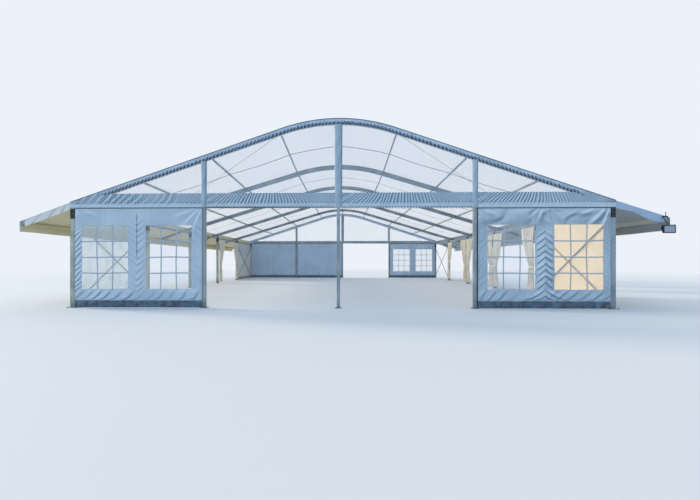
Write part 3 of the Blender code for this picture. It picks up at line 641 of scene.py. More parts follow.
def white_cloth(name, light, dark, flap_top=None, share=0.18, glow=(205, 215, 222)):
    """Coated cloth with painted shade, light where it turns to the sky and dark where it turns away; faint
    weave, streaks and a dark mud flap.
    """
    coated = Finish(name, {"Specular IOR Level": 0.35})
    where = coated.place()
    height = coated.part(where, "Z")
    turned = coated.part(coated.mark(), "X")
    cloud = coated.noise(where, 1.1, 5.0)
    streak = coated.noise(where, 1.0, 4.0, (9.0, 9.0, 0.5))
    grain = coated.noise(where, 650.0, 2.0)
    # Painted shade: the colour runs from the dark tone to the light one by how each fold turns to the sky.
    lit = coated.band(turned + 0.22 * (cloud - 0.5) + 0.1 * (streak - 0.5), 0.05, 0.95)
    base = coated.tint(lit, screen_colour(*dark), screen_colour(*light))
    stain = coated.band(streak, 0.58, 0.78) * coated.band(height, 2.2, 0.2)
    colour = coated.tint(0.3 * stain, base, screen_colour(126, 130, 124))
    roughness = 0.42 + 0.18 * cloud
    if flap_top is not None:
        edge = flap_top + 0.02 * (coated.noise(where, 2.5, 3.0) - 0.5)
        flap = coated.band(height, edge + 0.003, edge)
        mottle = coated.band(coated.noise(where, 6.0, 6.0), 0.35, 0.7)
        skirt = coated.tint(mottle, screen_colour(66, 84, 98), screen_colour(106, 126, 140))
        # Painted highlight on the mud flap where its folds turn to the sky.
        skirt = coated.tint(0.6 * coated.band(turned, 0.5, 0.95), skirt, screen_colour(150, 166, 178))
        weld = coated.band(height, edge + 0.024, edge + 0.02) - flap
        colour = coated.tint(0.5 * weld, colour, screen_colour(205, 215, 222))
        colour = coated.tint(flap, colour, skirt)
    coated.wear(colour, roughness, grain + 2.0 * streak, 0.0005)
    return coated.glow_through(share, screen_colour(*glow))


def crease(phase):
    """A ridge once a turn with a round valley between: 1 - |sin(phase / 2)|, its tip rounded."""
    return 1 - np.sqrt(np.sin(phase / 2) ** 2 + 0.02)


def swag(phase):
    """A fold once a turn, steep on one flank and slow on the other: a sine led by its own sine."""
    return 0.5 + 0.5 * np.sin(phase + 0.6 * np.sin(phase))


def smooth(value, low, high):
    """0 at low, 1 at high and an S-shaped rise between them."""
    share = np.clip((value - low) / (high - low), 0, 1)
    return share * share * (3 - 2 * share)


def band_top(x):
    """The band's upper edge: level, then under the rafter, then over its face near the eaves."""
    roof = roof_z(x, FRAME_LINES[0])
    level = np.minimum(BAND_TOP, roof - RAFTER_DEEP / math.cos(PITCHES[0]) + 0.03)
    return level + smooth(np.abs(x), 8.75, 9.05) * (roof - 0.012 - level)


def band_points(end, hem, top_line, columns):
    """Upright grid: a smooth hem below, above it pleats that lean to the middle of their bay.

    The front band's left end is slack, in broad folds. The marks follow how each pleat faces, for painted
    shade, with a painted highlight along the hem and over the left corner.
    """
    x = end * np.linspace(BAND_END, -BAND_END, columns)[None, :]
    low = BAND_BOTTOM[0] + (BAND_BOTTOM[1] - BAND_BOTTOM[0]) * smooth(x, -5.0, 5.0)
    hem_share = np.concatenate((np.linspace(0, 1, 4), np.ones(9)))[:, None]
    share = np.concatenate((np.zeros(4), np.linspace(0, 1, 10)[1:]))[:, None]
    z = low + hem_share * (hem - low) + share * (top_line(x) - hem)
    middle = (np.floor(x / BAY) + 0.5) * BAY
    turned = (x - middle) / (BAY / 2)
    fanned = (turned - 0.12 * turned ** 3) / (1 - PLEAT_LEAN * share)
    uneven = 0.55 * ripple(3 * x, 2 * z, 0.4) + 0.4 * ripple(9 * x, z, 1.9)
    phase = math.pi * PLEATS_A_BAY * fanned + 3.0 * uneven
    near_post = smooth(np.abs(turned), 0.55, 1.0)
    strength = 1.0 + 0.4 * ripple(2.1 * x, 0.5 * z, 3.3) + 0.4 * near_post
    fade = smooth(z, hem - 0.02, hem + 0.04) * (1 - 0.3 * share)
    pleats = 0.020 * strength * fade * crease(phase)
    pleats += 0.014 * near_post * fade * swag(phase / 3)
    broad = smooth(x, -5.6, -6.4) * (end < 0)
    slack = 0.016 * swag(math.tau * (x - 0.8 * z) / 0.29 + 2.6 * ripple(1.4 * x, 2 * z, 2.7)) * fade
    slack *= 0.8 + 0.7 * ripple(1.9 * x, z, 6.1)
    relief = pleats * (1 - 0.7 * broad) + slack * broad + 0.004 * np.sin(2.3 * x + 4 * z)
    below = smooth(z, hem, low)
    flare = 0.008 * below + 0.004 * np.sin(6.1 * x) * below + 0.003 * np.sin(23 * x) * below
    x, y, z = np.broadcast_arrays(x, end * (GABLE_FACE + 0.006 + relief + flare), z)
    points = np.stack((x, y, z), axis=-1)
    marks = fold_marks(points, 1.6, BAND_LIGHT)
    # Painted highlight: a lighter hem, and a white fold over the left corner of the front band.
    light = 0.28 * smooth(z, hem + 0.012, hem - 0.004) + 0.6 * smooth(x, -9.93, -10.08) * (end < 0)
    marks[..., 0] = np.clip(marks[..., 0] + light, 0, 1)
    return points, marks


def rear_band_top(x):
    """The rear band's upper edge, level all along."""
    return np.full_like(x, REAR_BAND["top"])


gable_cloth = white_cloth("gable_cloth", (202, 218, 228), (110, 130, 148), share=0.1)
bands = {"front": (BAND_HEM, band_top, 2101, 0.55), "rear": (REAR_BAND["hem"], rear_band_top, 701, 0.24)}
for end_name, (hem, top_line, columns, drop) in bands.items():
    band = cloth(*band_points(ENDS[end_name], hem, top_line, columns))
    make_sheet(f"{end_name}_gable_band", [band], gable_cloth, "white_pvc", flat=(20.3, drop),
               held="gathered", rests_on=[f"{end_name}_gable_frame"], thickness=CLOTH, crease=80)


def flap_points(end):
    """Strip over the lower part of the rafter's face, puckered aslant where its rope is drawn.

    The marks paint shade: bright above and dark below, where only the puckers' ridges carry painted light.
    """
    along = end * np.linspace(FLAP_REACH, -FLAP_REACH, 901)[None, :]
    share = np.linspace(0, 1, 8)[:, None]
    depth = FLAP_DEPTHS[0] + (FLAP_DEPTHS[1] - FLAP_DEPTHS[0]) * share
    x, z = below_roof(along, end * FRAME_LINES[-1], depth)
    phase = 46.0 * np.abs(along) + 5.0 * share + 1.5 * ripple(2 * along, share, 0.7)
    pucker = 0.012 * crease(phase) * np.sin(math.pi * share) * (0.7 + 0.5 * ripple(3 * along, share, 5.0))
    bulge = 0.004 * np.sin(math.pi * share)
    x, y, z = np.broadcast_arrays(x, end * (GABLE_FACE + 0.0025 + pucker + bulge), z)
    upper = smooth(share, 0.52, 0.72)
    light = upper * (0.72 + 0.2 * np.sin(phase)) + (1 - upper) * (0.04 + 0.9 * crease(phase) ** 1.6)
    return np.stack((x, y, z), axis=-1), np.stack(np.broadcast_arrays(light, z), axis=-1)


def rafter_under(middle, end):
    """Height of a gable rafter's underside."""
    frame_y = end * FRAME_LINES[-1]
    return float(roof_z(middle, frame_y) - RAFTER_DEEP / np.cos(roof_lean(middle, frame_y)))


def sleeve_points(end, middle, width, low):
    """Half-round cloth in front of an upright, from the band's hem up under the rafter."""
    turn = np.linspace(1, -1, 15)[None, :]
    top = rafter_under(middle, end)
    z = np.linspace(low, top, 60)[:, None]
    lean = 1 + 0.10 * (z - low) / (top - low)
    x = middle + end * turn * lean * width / 2
    folds = 0.006 * crease(9 * z + 2.5 * turn + middle) + 0.003 * ripple(9 * x, 3 * z, 2.0)
    out = GABLE_FACE + 0.004 + 0.034 * np.sqrt(1 - turn ** 2) + folds * (1 - turn ** 2)
    x, y, z = np.broadcast_arrays(x, end * out, z)
    return np.stack((x, y, z), axis=-1)


# The flap cloth's dark tone is painted shade in the puckers of its lower part.
flap_cloth = white_cloth("flap_cloth", (186, 202, 218), (58, 72, 88), share=0.08)
for end_name, end in ENDS.items():
    make_sheet(f"{end_name}_rafter_flap", [cloth(*flap_points(end))], flap_cloth, "white_pvc",
               flat=(19.0, 0.13), held="gathered", rests_on=[rafters[0] if end < 0 else rafters[-1]],
               thickness=CLOTH)
    for number, (middle, width) in enumerate(zip(POST_LINES, SLEEVE_WIDTHS), start=1):
        sleeve = cloth(sleeve_points(end, middle, width, SLEEVE_LOW))
        height = rafter_under(middle, end) - SLEEVE_LOW
        make_sheet(f"{end_name}_sleeve_{number}", [sleeve], gable_cloth, "white_pvc",
                   flat=(width * 1.12, height), held="stretched", rests_on=[f"{end_name}_gable_frame"],
                   thickness=CLOTH)

# Awnings
# Opaque cloth over the arms and the tip rail along each side, with short valances down the end arms
# and a deeper one outside the rail. Light and shade are painted into its colours: the left cloth is white
# above and cream below for the low sun and the bounce from the lit ground; the right one, in shade, is
# grey-blue above and duller below.
AWNING_SLOPES = {-1: math.tan(math.radians(20.0)), 1: math.tan(math.radians(17.8))}
AWNING_NEAR = HALF + 0.004
AWNING_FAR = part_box("awning_valance_right")[1].x
AWNING_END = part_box("awning_valance_right")[1].y
VALANCE_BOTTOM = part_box("awning_valance_right")[0].z
END_VALANCE_TIP = 11.80
END_VALANCE_Y = 12.5445
END_DROPS = {-1: (0.29, 0.29, 0.28, 0.27, 0.26), 1: (0.29, 0.22, 0.30, 0.32, 0.24)}
# Painted sunlight and shade: the left cloth's colours are for low sun and its bounce, the right one's for
# shade.
AWNING_SUN_AND_SHADE_COLOURS = {-1: ((248, 250, 252), (228, 220, 182)), 1: ((172, 194, 216), (168, 184, 196))}
SKIRT_GLOW = {-1: 0.35, 1: 0.08}


def awning_finish(name, side, above, below, share):
    """Blind cloth of one colour above and, on its under and inner faces, of another below, with painted
    shade in its fold valleys.
    """
    coated = Finish(name, {"Specular IOR Level": 0.3})
    where = coated.place()
    cloud = coated.noise(where, 1.3, 5.0)
    streak = coated.noise(where, 1.0, 4.0, (0.6, 7.0, 3.0))
    grain = coated.noise(where, 600.0, 2.0)
    normal = coated.node("NewGeometry", output="Normal")
    down = coated.band(coated.part(normal, "Z"), -0.1, -0.3)
    inward = coated.band(-side * coated.part(normal, "X"), 0.6, 0.8)
    inner = coated.sum("MAXIMUM", down, inward)
    worn = [tone - 26 for tone in above]
    shaded = [tone - drop for tone, drop in zip(above, (78, 66, 42))]
    wear = 0.5 * coated.band(cloud + 0.4 * streak, 0.5, 1.1)
    top = coated.tint(wear, screen_colour(*above), screen_colour(*worn))
    # Painted shade: the top is darkened where a fold turns away from the light.
    valley = coated.band(coated.part(coated.mark(), "X"), 0.48, 0.1)
    top = coated.tint(0.62 * valley, top, screen_colour(*shaded))
    # The under colour is partly the cloth's backing and partly painted light bounced up from the ground.
    under = coated.tint(0.35 * cloud, screen_colour(*below), screen_colour(116, 114, 100))
    colour = coated.tint(inner, top, under)
    coated.wear(colour, 0.46 + 0.2 * cloud, grain + 2.0 * streak, 0.0005)
    return coated.glow_through(share, screen_colour(244, 232, 196))


def awning_z(x, side):
    """Height of the straight line down which a side's awning slopes from the eaves."""
    return EAVE + (HALF - np.abs(x)) * AWNING_SLOPES[side]


def canopy_points(side):
    """The awning's slope, sagging as a sine between the arms and across its reach."""
    reach = np.linspace(AWNING_NEAR, AWNING_FAR, 21)
    x = (side * reach[::side])[None, :]
    y = np.linspace(-AWNING_END, AWNING_END, 251)[:, None]
    share = (np.abs(x) - AWNING_NEAR) / (AWNING_FAR - AWNING_NEAR)
    belly = np.abs(np.sin(math.pi * (y - FRAME_LINES[0]) / BAY)) ** 0.8 * (np.abs(y) < 2.5 * BAY)
    sag = 0.003 + belly * (0.035 * np.sin(math.pi * share) + 0.003 * np.sin(21 * y + 5 * share))
    x, y, z = np.broadcast_arrays(x, y, awning_z(x, side) - sag)
    return np.stack((x, y, z), axis=-1)


def end_valance_points(side, end):
    """Strip down an end arm, whose drop wanders along it and whose lower edge swings in folds.

    The right one hangs tauter. The marks follow how each fold faces, for painted shade.
    """
    reach = np.linspace(AWNING_NEAR, END_VALANCE_TIP, 81)
    order = reach[::side * -end]
    x = (side * order)[None, :]
    share = np.linspace(0, 1, 13)[:, None]
    across = (order - AWNING_NEAR) / (END_VALANCE_TIP - AWNING_NEAR)
    top = awning_z(order, side) - 0.004
    drop = np.interp(across, (0.0, 0.35, 0.62, 0.82, 1.0), END_DROPS[side])
    bottom = top - drop + 0.006 * np.sin(math.tau * across)
    z = bottom + share * (top - bottom)
    wave = 0.012 * np.sin(6.0 * across * math.pi + 0.6) * (1 - share) * (0.4 + 0.6 * across)
    slack = 1.0 if side < 0 else 0.35
    phase = math.tau * (3.8 * across + 0.55 * share) + 1.5 * np.sin(5 * across)
    folds = 0.022 * slack * swag(phase) * (1 - 0.6 * share)
    x, y, z = np.broadcast_arrays(x, end * (END_VALANCE_Y + wave + folds), z)
    points = np.stack((x, y, z), axis=-1)
    return points, fold_marks(points, 2.0)


def outer_valance_points(side):
    """Long strip outside the rail whose lower edge swings gently in and out."""
    order = np.linspace(-AWNING_END, AWNING_END, 361)[::side]
    y = order[None, :]
    share = np.linspace(0, 1, 11)[:, None]
    top = awning_z(AWNING_FAR, side) - 0.004
    bottom = VALANCE_BOTTOM + 0.006 * np.sin(2.5 * y)
    z = bottom + share * (top - bottom)
    swing = (0.010 * np.sin(7.9 * y + 1.2 * np.sin(1.7 * y)) + 0.006 * np.sin(3.1 * y)) * (1 - share) ** 1.3
    hem = 0.002 * smooth(z, bottom + 0.05, bottom + 0.04)
    x, y, z = np.broadcast_arrays(side * (AWNING_FAR + 0.004 + swing + hem), y, z)
    return np.stack((x, y, z), axis=-1)


def rail_wraps(side, rail):
    """Cloth brought round the rail's inner and lower faces, one length between each two arms."""
    low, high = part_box(rail)
    inner, outer = sorted((abs(low.x), abs(high.x)))
    inner -= 0.003
    under = low.z - 0.003
    section = np.array([(inner, high.z - 0.01), (inner, under), (outer, under)])
    shapes = []
    for near, far in zip(FRAME_LINES, FRAME_LINES[1:]):
        y = np.linspace(near + 0.07, far - 0.07, 25)[::side][None, :]
        x, y, z = np.broadcast_arrays(side * section[:, :1], y, section[:, 1:])
        shapes.append(cloth(np.stack((x, y, z), axis=-1)))
    return shapes


for side_name, side in SIDES.items():
    above, below = AWNING_SUN_AND_SHADE_COLOURS[side]
    weathered = [tone - 22 for tone in above]
    blind = awning_finish(f"awning_cloth_{side_name}", side, weathered, below, 0.06)
    skirt = awning_finish(f"awning_skirt_{side_name}", side, above, below, SKIRT_GLOW[side])
    rail = f"awning_rail_{side_name}"
    canopy = make_sheet(f"awning_cloth_{side_name}", [cloth(canopy_points(side))], blind, "awning_pvc",
                        flat=(2.0, 25.1), held="stretched", rests_on=[rail] + rafters, thickness=CLOTH,
                        stands_for=[f"awning_canopy_{side_name}"])
    for end_name, end in ENDS.items():
        make_sheet(f"awning_end_valance_{end_name}_{side_name}", [cloth(*end_valance_points(side, end))],
                   skirt, "awning_pvc", flat=(1.8, 0.29), held="hung", rests_on=[canopy], thickness=CLOTH)
    make_sheet(f"awning_outer_valance_{side_name}", [cloth(outer_valance_points(side))], blind,
               "awning_pvc", flat=(0.43, 25.1), held="hung", rests_on=[rail], thickness=CLOTH,
               stands_for=[f"awning_valance_{side_name}"])
    make_sheet(f"awning_rail_wrap_{side_name}", rail_wraps(side, rail), blind, "awning_pvc",
               flat=(0.267, 24.3), held="stretched", rests_on=[rail], thickness=CLOTH)

# Gable walls
# Coated white cloth between the posts, hung from a rail under the beam and laced to the next cloth at
# its middle seam. Each window is a clear film behind a frame of the cloth, with welded strips as bars.
WALL_LOW = 0.013
WALL_HIGH = 3.735
WALL_Y = 12.536
SILL = 0.70
HEAD = 3.07
MUD_FLAP = 0.275
WINDOWS = ((5.46, 7.21), (7.87, 9.62))
WALL_EDGES = {-1: (5.075, LEG_INNER - 0.008), 1: (5.105, LEG_INNER - 0.008)}
SEAM = 7.54
BAR_WIDTH = 0.045
BAR_LAP = 0.02
RIBBON_OUT = 0.0015
PANE_LAP = 0.04
PANE_SINK = 0.004
PITCH = {"front": 0.02, "rear": 0.034, "plain": 0.06}


def ruled(edges, pitch):
    """Values that run through each of the edges, with no step longer than the pitch."""
    runs = [np.linspace(low, high, math.ceil((high - low) / pitch) + 1)[:-1]
            for low, high in zip(edges, edges[1:])]
    return np.concatenate(runs + [edges[-1:]])


def folds(x, z, rise, spacing, focus, wander=0.6, seed=0.0):
    """Folds that climb at rise to the right, spacing apart upright, shown where focus is 1."""
    return swag(math.tau * (z - rise * x) / spacing + wander * 3 * ripple(2 * x, 2 * z, seed)) * focus


def near_line(x, middle, width):
    """1 on an upright line, falling off either side as a bell."""
    return np.exp(-((x - middle) / width) ** 2)


def fan(x, z, corner_x, corner_z, count, reach):
    """Folds that spread from a corner, count to the quarter turn, deepest a third of the way out."""
    turn = np.arctan2(corner_z - z, np.abs(x - corner_x))
    far = np.hypot(x - corner_x, z - corner_z)
    return swag(4 * count * turn) * smooth(far, 0.0, reach / 3) * smooth(far, reach, reach / 3)


def under_window(x, z, seed):
    """Folds between the sill and the mud flap that climb to the right and bend as they go."""
    phase = math.tau * (z - 0.75 * x - 0.9 * (z - 0.3) ** 2) / 0.30 + 3.2 * ripple(0.9 * x, 1.3 * z, seed)
    strength = 0.7 + 0.6 * ripple(1.9 * x, z, seed + 2)
    return strength * swag(phase) * smooth(z, 0.74, 0.55) * smooth(z, 0.26, 0.36)


def right_wall_relief(x, z):
    """Metres that the right wall stands out: chevrons by the seam, folds from the corners."""
    away = np.abs(x - SEAM)
    reach = 0.36 + 0.5 * smooth(z, 0.75, 0.3)
    fall = 0.95 * away - 0.55 * away ** 2
    chevron = swag(math.tau * (z + fall) / 0.235 + 0.9 * ripple(1.5 * x, 1.6 * z, 0.3))
    strength = 0.036 * (0.85 + 0.45 * ripple(2.2 * x, 4.1 * z, 5.7))
    shown = smooth(away, reach, 0.5 * reach) * smooth(z, 0.28, 0.4) * smooth(z, 3.0, 2.5)
    relief = strength * chevron * shown
    by_leg = near_line(x, 9.80, 0.12) * smooth(z, 0.5, 0.8) * smooth(z, 3.4, 3.0)
    relief += 0.010 * folds(x, z, -1.2, 0.19, by_leg, 1.2)
    relief += 0.040 * fan(x, z, 9.95, 3.95, 4, 1.9) + 0.026 * fan(x, z, 5.05, 3.85, 3, 1.3)
    relief += 0.024 * fan(x, z, SEAM, 3.9, 4, 1.0) + 0.015 * under_window(x, z, 4)
    relief += 0.030 * folds(x, z, 1.6, 1.5, smooth(z, 3.0, 3.35), 0.8, seed=3)
    relief += 0.005 * folds(x, z, 1.3, 0.31, near_line(x, 5.25, 0.16) * smooth(z, 3.3, 2.9), 1.5, seed=5)
    return relief


def left_wall_relief(x, z):
    """Metres that the left wall stands out: folds that climb away from the leg and the sill."""
    by_leg = near_line(x, -9.80, 0.15) * smooth(z, 0.4, 0.7) * smooth(z, 3.1, 2.7)
    relief = 0.018 * folds(x, z, 0.9, 0.21, by_leg, 0.8, seed=6) + 0.018 * under_window(x, z, 7)
    chevron = swag(math.tau * (z - 0.9 * np.abs(x + SEAM)) / 0.26 + 2.2 * ripple(1.6 * x, 1.3 * z, 1.0))
    relief += 0.010 * chevron * near_line(x, -SEAM, 0.24) * smooth(z, 0.4, 0.7) * smooth(z, 3.6, 3.0)
    relief += 0.022 * fan(x, z, -9.95, 3.95, 3, 1.5) + 0.016 * fan(x, z, -5.05, 3.85, 4, 1.5)
    relief += 0.008 * folds(x, z, -1.2, 0.4, near_line(x, -5.2, 0.2), seed=9)
    return relief


def rear_wall_relief(x, z):
    """Metres that a rear wall stands out: slack folds below its rail and over the mud flap."""
    relief = 0.014 * folds(x, z, 2.1, 0.9, smooth(z, 2.7, 3.4), seed=10) + 0.018 * under_window(x, z, 11)
    middle = np.abs(x) - SEAM
    chevron = swag(math.tau * (z + 0.75 * np.abs(middle)) / 0.21 + 0.8 * ripple(2 * x, 3 * z, 2.3))
    relief += 0.024 * chevron * near_line(middle, 0, 0.28) * smooth(z, 0.3, 0.5) * smooth(z, 3.2, 2.6)
    return relief


def wall_y(x, z, end, relief):
    """Y of a gable wall's cloth: its plane, creases, a slow billow, the flap's step and slack skirt."""
    billow = 0.010 * ripple(0.9 * x, 0.9 * z, 4.0) * smooth(z, 0.0, 0.5) * smooth(z, WALL_HIGH, 3.3)
    flap = 0.003 * smooth(z, MUD_FLAP + 0.01, MUD_FLAP)
    skirt = 0.016 * swag(11 * x + 3 * np.sin(1.9 * x) - 4 * z) * smooth(z, MUD_FLAP, 0.08)
    held = 0.1 + 0.9 * smooth(z, WALL_HIGH - 0.03, 3.45)
    return end * (WALL_Y + relief(x, z) * held + billow + flap + skirt)


def wall_grid(xs, zs, end, relief, sink=0.0):
    """The wall's surface over xs by zs, seen from outside, sunk inwards by a depth."""
    x, z = np.meshgrid(xs[::-end], zs)
    return np.stack((x, wall_y(x, z, end, relief) - end * sink, z), axis=-1)


def window_wall(name, side, end_name, relief, finish, stands_for):
    """Wall cloth with its two windows left open, hung from the beam."""
    end, pitch = ENDS[end_name], PITCH[end_name]
    inner, outer = WALL_EDGES[side]
    edges = np.sort(side * np.array([inner, *WINDOWS[0], *WINDOWS[1], outer]))
    xs = ruled(edges.tolist(), pitch)
    zs = ruled([WALL_LOW, SILL, HEAD, WALL_HIGH], pitch)
    points = wall_grid(xs, zs, end, relief)
    centre = (points[1:, 1:] + points[:-1, :-1]) / 2
    out_x = np.abs(centre[..., 0])
    open_row = (centre[..., 2] > SILL) & (centre[..., 2] < HEAD)
    glazed = sum(((out_x > low) & (out_x < high)) for low, high in WINDOWS) > 0
    width, height = outer - inner, WALL_HIGH - WALL_LOW
    panes = sum((high - low) * (HEAD - SILL) for low, high in WINDOWS)
    # The marks carry painted shade by how each crease faces the light.
    wall = cloth(points, fold_marks(points, 1.3), ~(open_row & glazed))
    return make_sheet(name, [wall], finish, "white_pvc", flat=(width, height), held="hung",
                      rests_on=[f"{end_name}_gable_frame"], thickness=CLOTH, area=width * height - panes,
                      stands_for=[stands_for], crease=80)


def strip(centre_x, centre_z, width, upright, end, relief):
    """Ribbon welded along a line of the wall, just out from the surface of its cloth."""
    aside = np.linspace(-width / 2, width / 2, 3)
    if upright:
        x = centre_x[:, None] - end * aside[None, :]
        z = np.broadcast_to(centre_z[:, None], x.shape)
    else:
        z = centre_z[None, :] + aside[:, None]
        x = np.broadcast_to(centre_x[None, ::-end], z.shape)
    return cloth(np.stack((x, wall_y(x, z, end, relief) + end * RIBBON_OUT, z), axis=-1))


def window_bars(side, end, relief):
    """Two upright and three level strips to each window, drawn slightly out of true."""
    shapes = []
    for low, high in WINDOWS:
        z = np.linspace(SILL - BAR_LAP, HEAD + BAR_LAP, 60)
        for k in (1, 2):
            x = side * (low + (high - low) * k / 3) + 0.013 * np.sin(2.3 * z + 2.1 * k + low)
            shapes.append(strip(x, z, BAR_WIDTH, True, end, relief))
        x = np.sort(side * np.linspace(low - BAR_LAP, high + BAR_LAP, 46))
        for k in (1, 2, 3):
            z = SILL + (HEAD - SILL) * k / 4 + 0.008 * np.sin(3.1 * x + k)
            shapes.append(strip(x, z, BAR_WIDTH, False, end, relief))
    return shapes


def window_panes(side, end, relief):
    """A film behind each window, lapped past its edges."""
    shapes = []
    for low, high in WINDOWS:
        xs = np.sort(side * np.linspace(low - PANE_LAP, high + PANE_LAP, 40))
        zs = np.linspace(SILL - PANE_LAP, HEAD + PANE_LAP, 50)
        points = wall_grid(xs, zs, end, relief, PANE_SINK)
        shapes.append(cloth(points, points[..., ::2]))
    return shapes


def window_finish():
    """Clear film with a faint haze; the left wall's outer window has gone milky with use."""
    film = Finish("window_film", {"IOR": 1.45, "Specular IOR Level": 0.45})
    where = film.place()
    cloud = film.noise(where, 1.2, 4.0)
    smear = film.noise(where, 3.0, 4.0, (1.6, 1, 0.8))
    left = film.band(film.part(where, "X"), -7.8, -7.84) * film.band(film.part(where, "Y"), 0.0, -1.0)
    milk = 0.16 + 0.28 * film.band(film.part(where, "Z"), 2.3, 3.05) + 0.14 * film.band(smear, 0.45, 0.7)
    alpha = 0.10 + 0.06 * cloud + left * milk
    colour = film.tint(left, screen_colour(222, 230, 240), screen_colour(206, 214, 210))
    return film.wear(colour, 0.06 + 0.12 * smear, cloud + 0.2 * smear, 0.006, alpha)


wall_cloth = white_cloth("wall_cloth", (224, 235, 242), (130, 151, 168), flap_top=MUD_FLAP, share=0.14)
# Painted light: a brighter copy of the wall cloth for the front left and rear walls, which stand in
# stronger sky light than the front right one.
sky_brightened_cloth = white_cloth("sky_brightened_wall_cloth", (234, 244, 252), (142, 164, 184), flap_top=MUD_FLAP, share=0.14)
bar_cloth = white_cloth("bar_cloth", (206, 214, 220), (176, 186, 194), share=0.2)
window_film = window_finish()
window_walls = (("front", "left", left_wall_relief, sky_brightened_cloth),
                ("front", "right", right_wall_relief, wall_cloth),
                ("rear", "right", rear_wall_relief, sky_brightened_cloth))
for end_name, side_name, relief, finish in window_walls:
    side, end = SIDES[side_name], ENDS[end_name]
    wall = window_wall(f"{end_name}_wall_cloth_{side_name}", side, end_name, relief, finish,
                       f"{end_name}_wall_{side_name}")
    place = f"{end_name}_window_{side_name}"
    bars = make_piece(f"{place}_bars", window_bars(side, end, relief), bar_cloth, "white_pvc", crease=80)
    thicken(bars, 0.001, -1.0)
    make_sheet(f"{place}_panes", window_panes(side, end, relief), window_film, "clear_pvc",
               flat=(3.66, 2.45), held="stretched", rests_on=[wall], thickness=FILM,
               stands_for=[f"{end_name}_glazing_{side_name}"], crease=80)

inner, outer = WALL_EDGES[-1]
plain_walls = {"outer": (-outer, -inner), "inner": (-4.925, -0.075)}
for place, (low, high) in plain_walls.items():
    xs, zs = ruled([low, high], PITCH["plain"]), ruled([WALL_LOW, WALL_HIGH], PITCH["plain"])
    make_sheet(f"rear_wall_cloth_left_{place}", [cloth(wall_grid(xs, zs, 1, rear_wall_relief))], sky_brightened_cloth,
               "white_pvc", flat=(high - low, WALL_HIGH - WALL_LOW), held="hung",
               rests_on=["rear_gable_frame"], thickness=CLOTH, stands_for=[f"rear_wall_left_{place}"],
               crease=80)

# Side walls
# Plain coated cloths between two legs, hung under the eave purlin and held to the legs by their edges,
# with a dark mud flap along the ground. The right one is painted cream for the low sun on its inner face.
SIDE_WALL_TOP = 3.555


def side_wall_points(side, near, far):
    """Upright grid along Y: creases that climb from the legs, a slow billow and a slack skirt."""
    y = ruled([near, far], PITCH["plain"])[::side][None, :]
    z = ruled([WALL_LOW, SIDE_WALL_TOP], PITCH["plain"])[:, None]
    post = np.minimum(y - near, far - y)
    by_leg = np.exp(-(post / 0.3) ** 2)
    relief = 0.022 * swag(math.tau * (z - 0.8 * post) / 0.24 + ripple(2 * y, z, 0.2)) * by_leg
    relief += 0.014 * swag(math.tau * (y + 0.3 * z) / 0.42 + ripple(y, z, 1.2)) * smooth(z, 2.9, 3.5)
    relief += 0.02 * ripple(0.9 * y, 0.8 * z, side) * smooth(z, 0.0, 0.6) * smooth(z, 3.55, 3.0)
    relief += 0.012 * np.sin(4.7 * y + 2 * np.sin(2.1 * y)) * smooth(z, 0.35, 0.05)
    x, y, z = np.broadcast_arrays(side * (LEG_X + relief), y, z)
    return np.stack((x, y, z), axis=-1)


# Painted light: the right wall's cream cloth stands for low sun on it; the left one keeps plain tones.
side_walls = (
    ("right", 1, "sunlit_wall_cloth", (255, 240, 208), (232, 212, 176), (252, 238, 208)),
    ("left", 5, "side_wall_cloth", (222, 228, 230), (166, 176, 184), (240, 236, 226)))
for side_name, bay, cloth_name, light, dark, glow in side_walls:
    finish = white_cloth(cloth_name, light, dark, flap_top=MUD_FLAP, share=0.22, glow=glow)
    node = f"side_wall_{side_name}_{bay}"
    low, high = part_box(node)
    points = side_wall_points(SIDES[side_name], low.y + 0.012, high.y - 0.012)
    make_sheet(f"side_wall_cloth_{side_name}", [cloth(points)], finish, "white_pvc",
               flat=(high.y - low.y, 3.545), held="hung", rests_on=[f"eave_purlin_{side_name}"],
               thickness=CLOTH, stands_for=[node], crease=80)

# Seams, rails and rope tracks of the walls
# Aluminium keder tracks beside the posts and under the beams take the walls' roped edges; they are painted
# near black for the shadow gaps there. A narrow lap covers each seam, and cord loops lace all but the right
# front one. A rope is looped along the front band's lower edge, dark as painted shadow under the hem.
TRACK_Y = 12.532
BEAM_TRACK_Y = 12.535
TRACK_LOW = 0.02
POST_TRACKS = [(-5.068, 0.018), (5.084, 0.046)]
REAR_TRACKS = [(-4.932, 0.018), (-0.068, 0.018)]
WALL_RUNS = ((-9.88, -5.065), (-4.935, -0.065), (0.065, 4.935), (5.065, 9.88))
SEAM_TOP = 3.70
REAR_SEAMS = (-SEAM, -2.5, SEAM)
LAP_LOW = 0.3
FRONT_LACING = (1.9, 3.5)
REAR_LACING = (0.4, 3.6)
BEAM_ROPES = ((-4.85, -0.2, 3.735), (0.2, 4.85, 3.712))
# Painted shadow: the tracks are near black to stand for the shade in the gaps beside the posts and under
# the hem.
shadow_dark_tracks_metal = aluminium("shadow_dark_tracks_aluminium", "Z", (66, 74, 84), (34, 40, 48))
tracks = []
for end in (-1, 1):
    posts = POST_TRACKS + (REAR_TRACKS if end > 0 else [])
    y = end * TRACK_Y
    tracks += [bar((x, y, TRACK_LOW), (x, y, SEAM_TOP), rounded(wide, 0.034, 0.003), (0, 1, 0))
               for x, wide in posts]
    y = end * BEAM_TRACK_Y
    for low, high in WALL_RUNS:
        z = BAND_BOTTOM[1 if low > 4 else 0] - 0.012
        tracks.append(bar((low, y, z), (high, y, z), rounded(0.026, 0.026, 0.004)))
make_piece("wall_tracks", tracks, shadow_dark_tracks_metal, "aluminium")

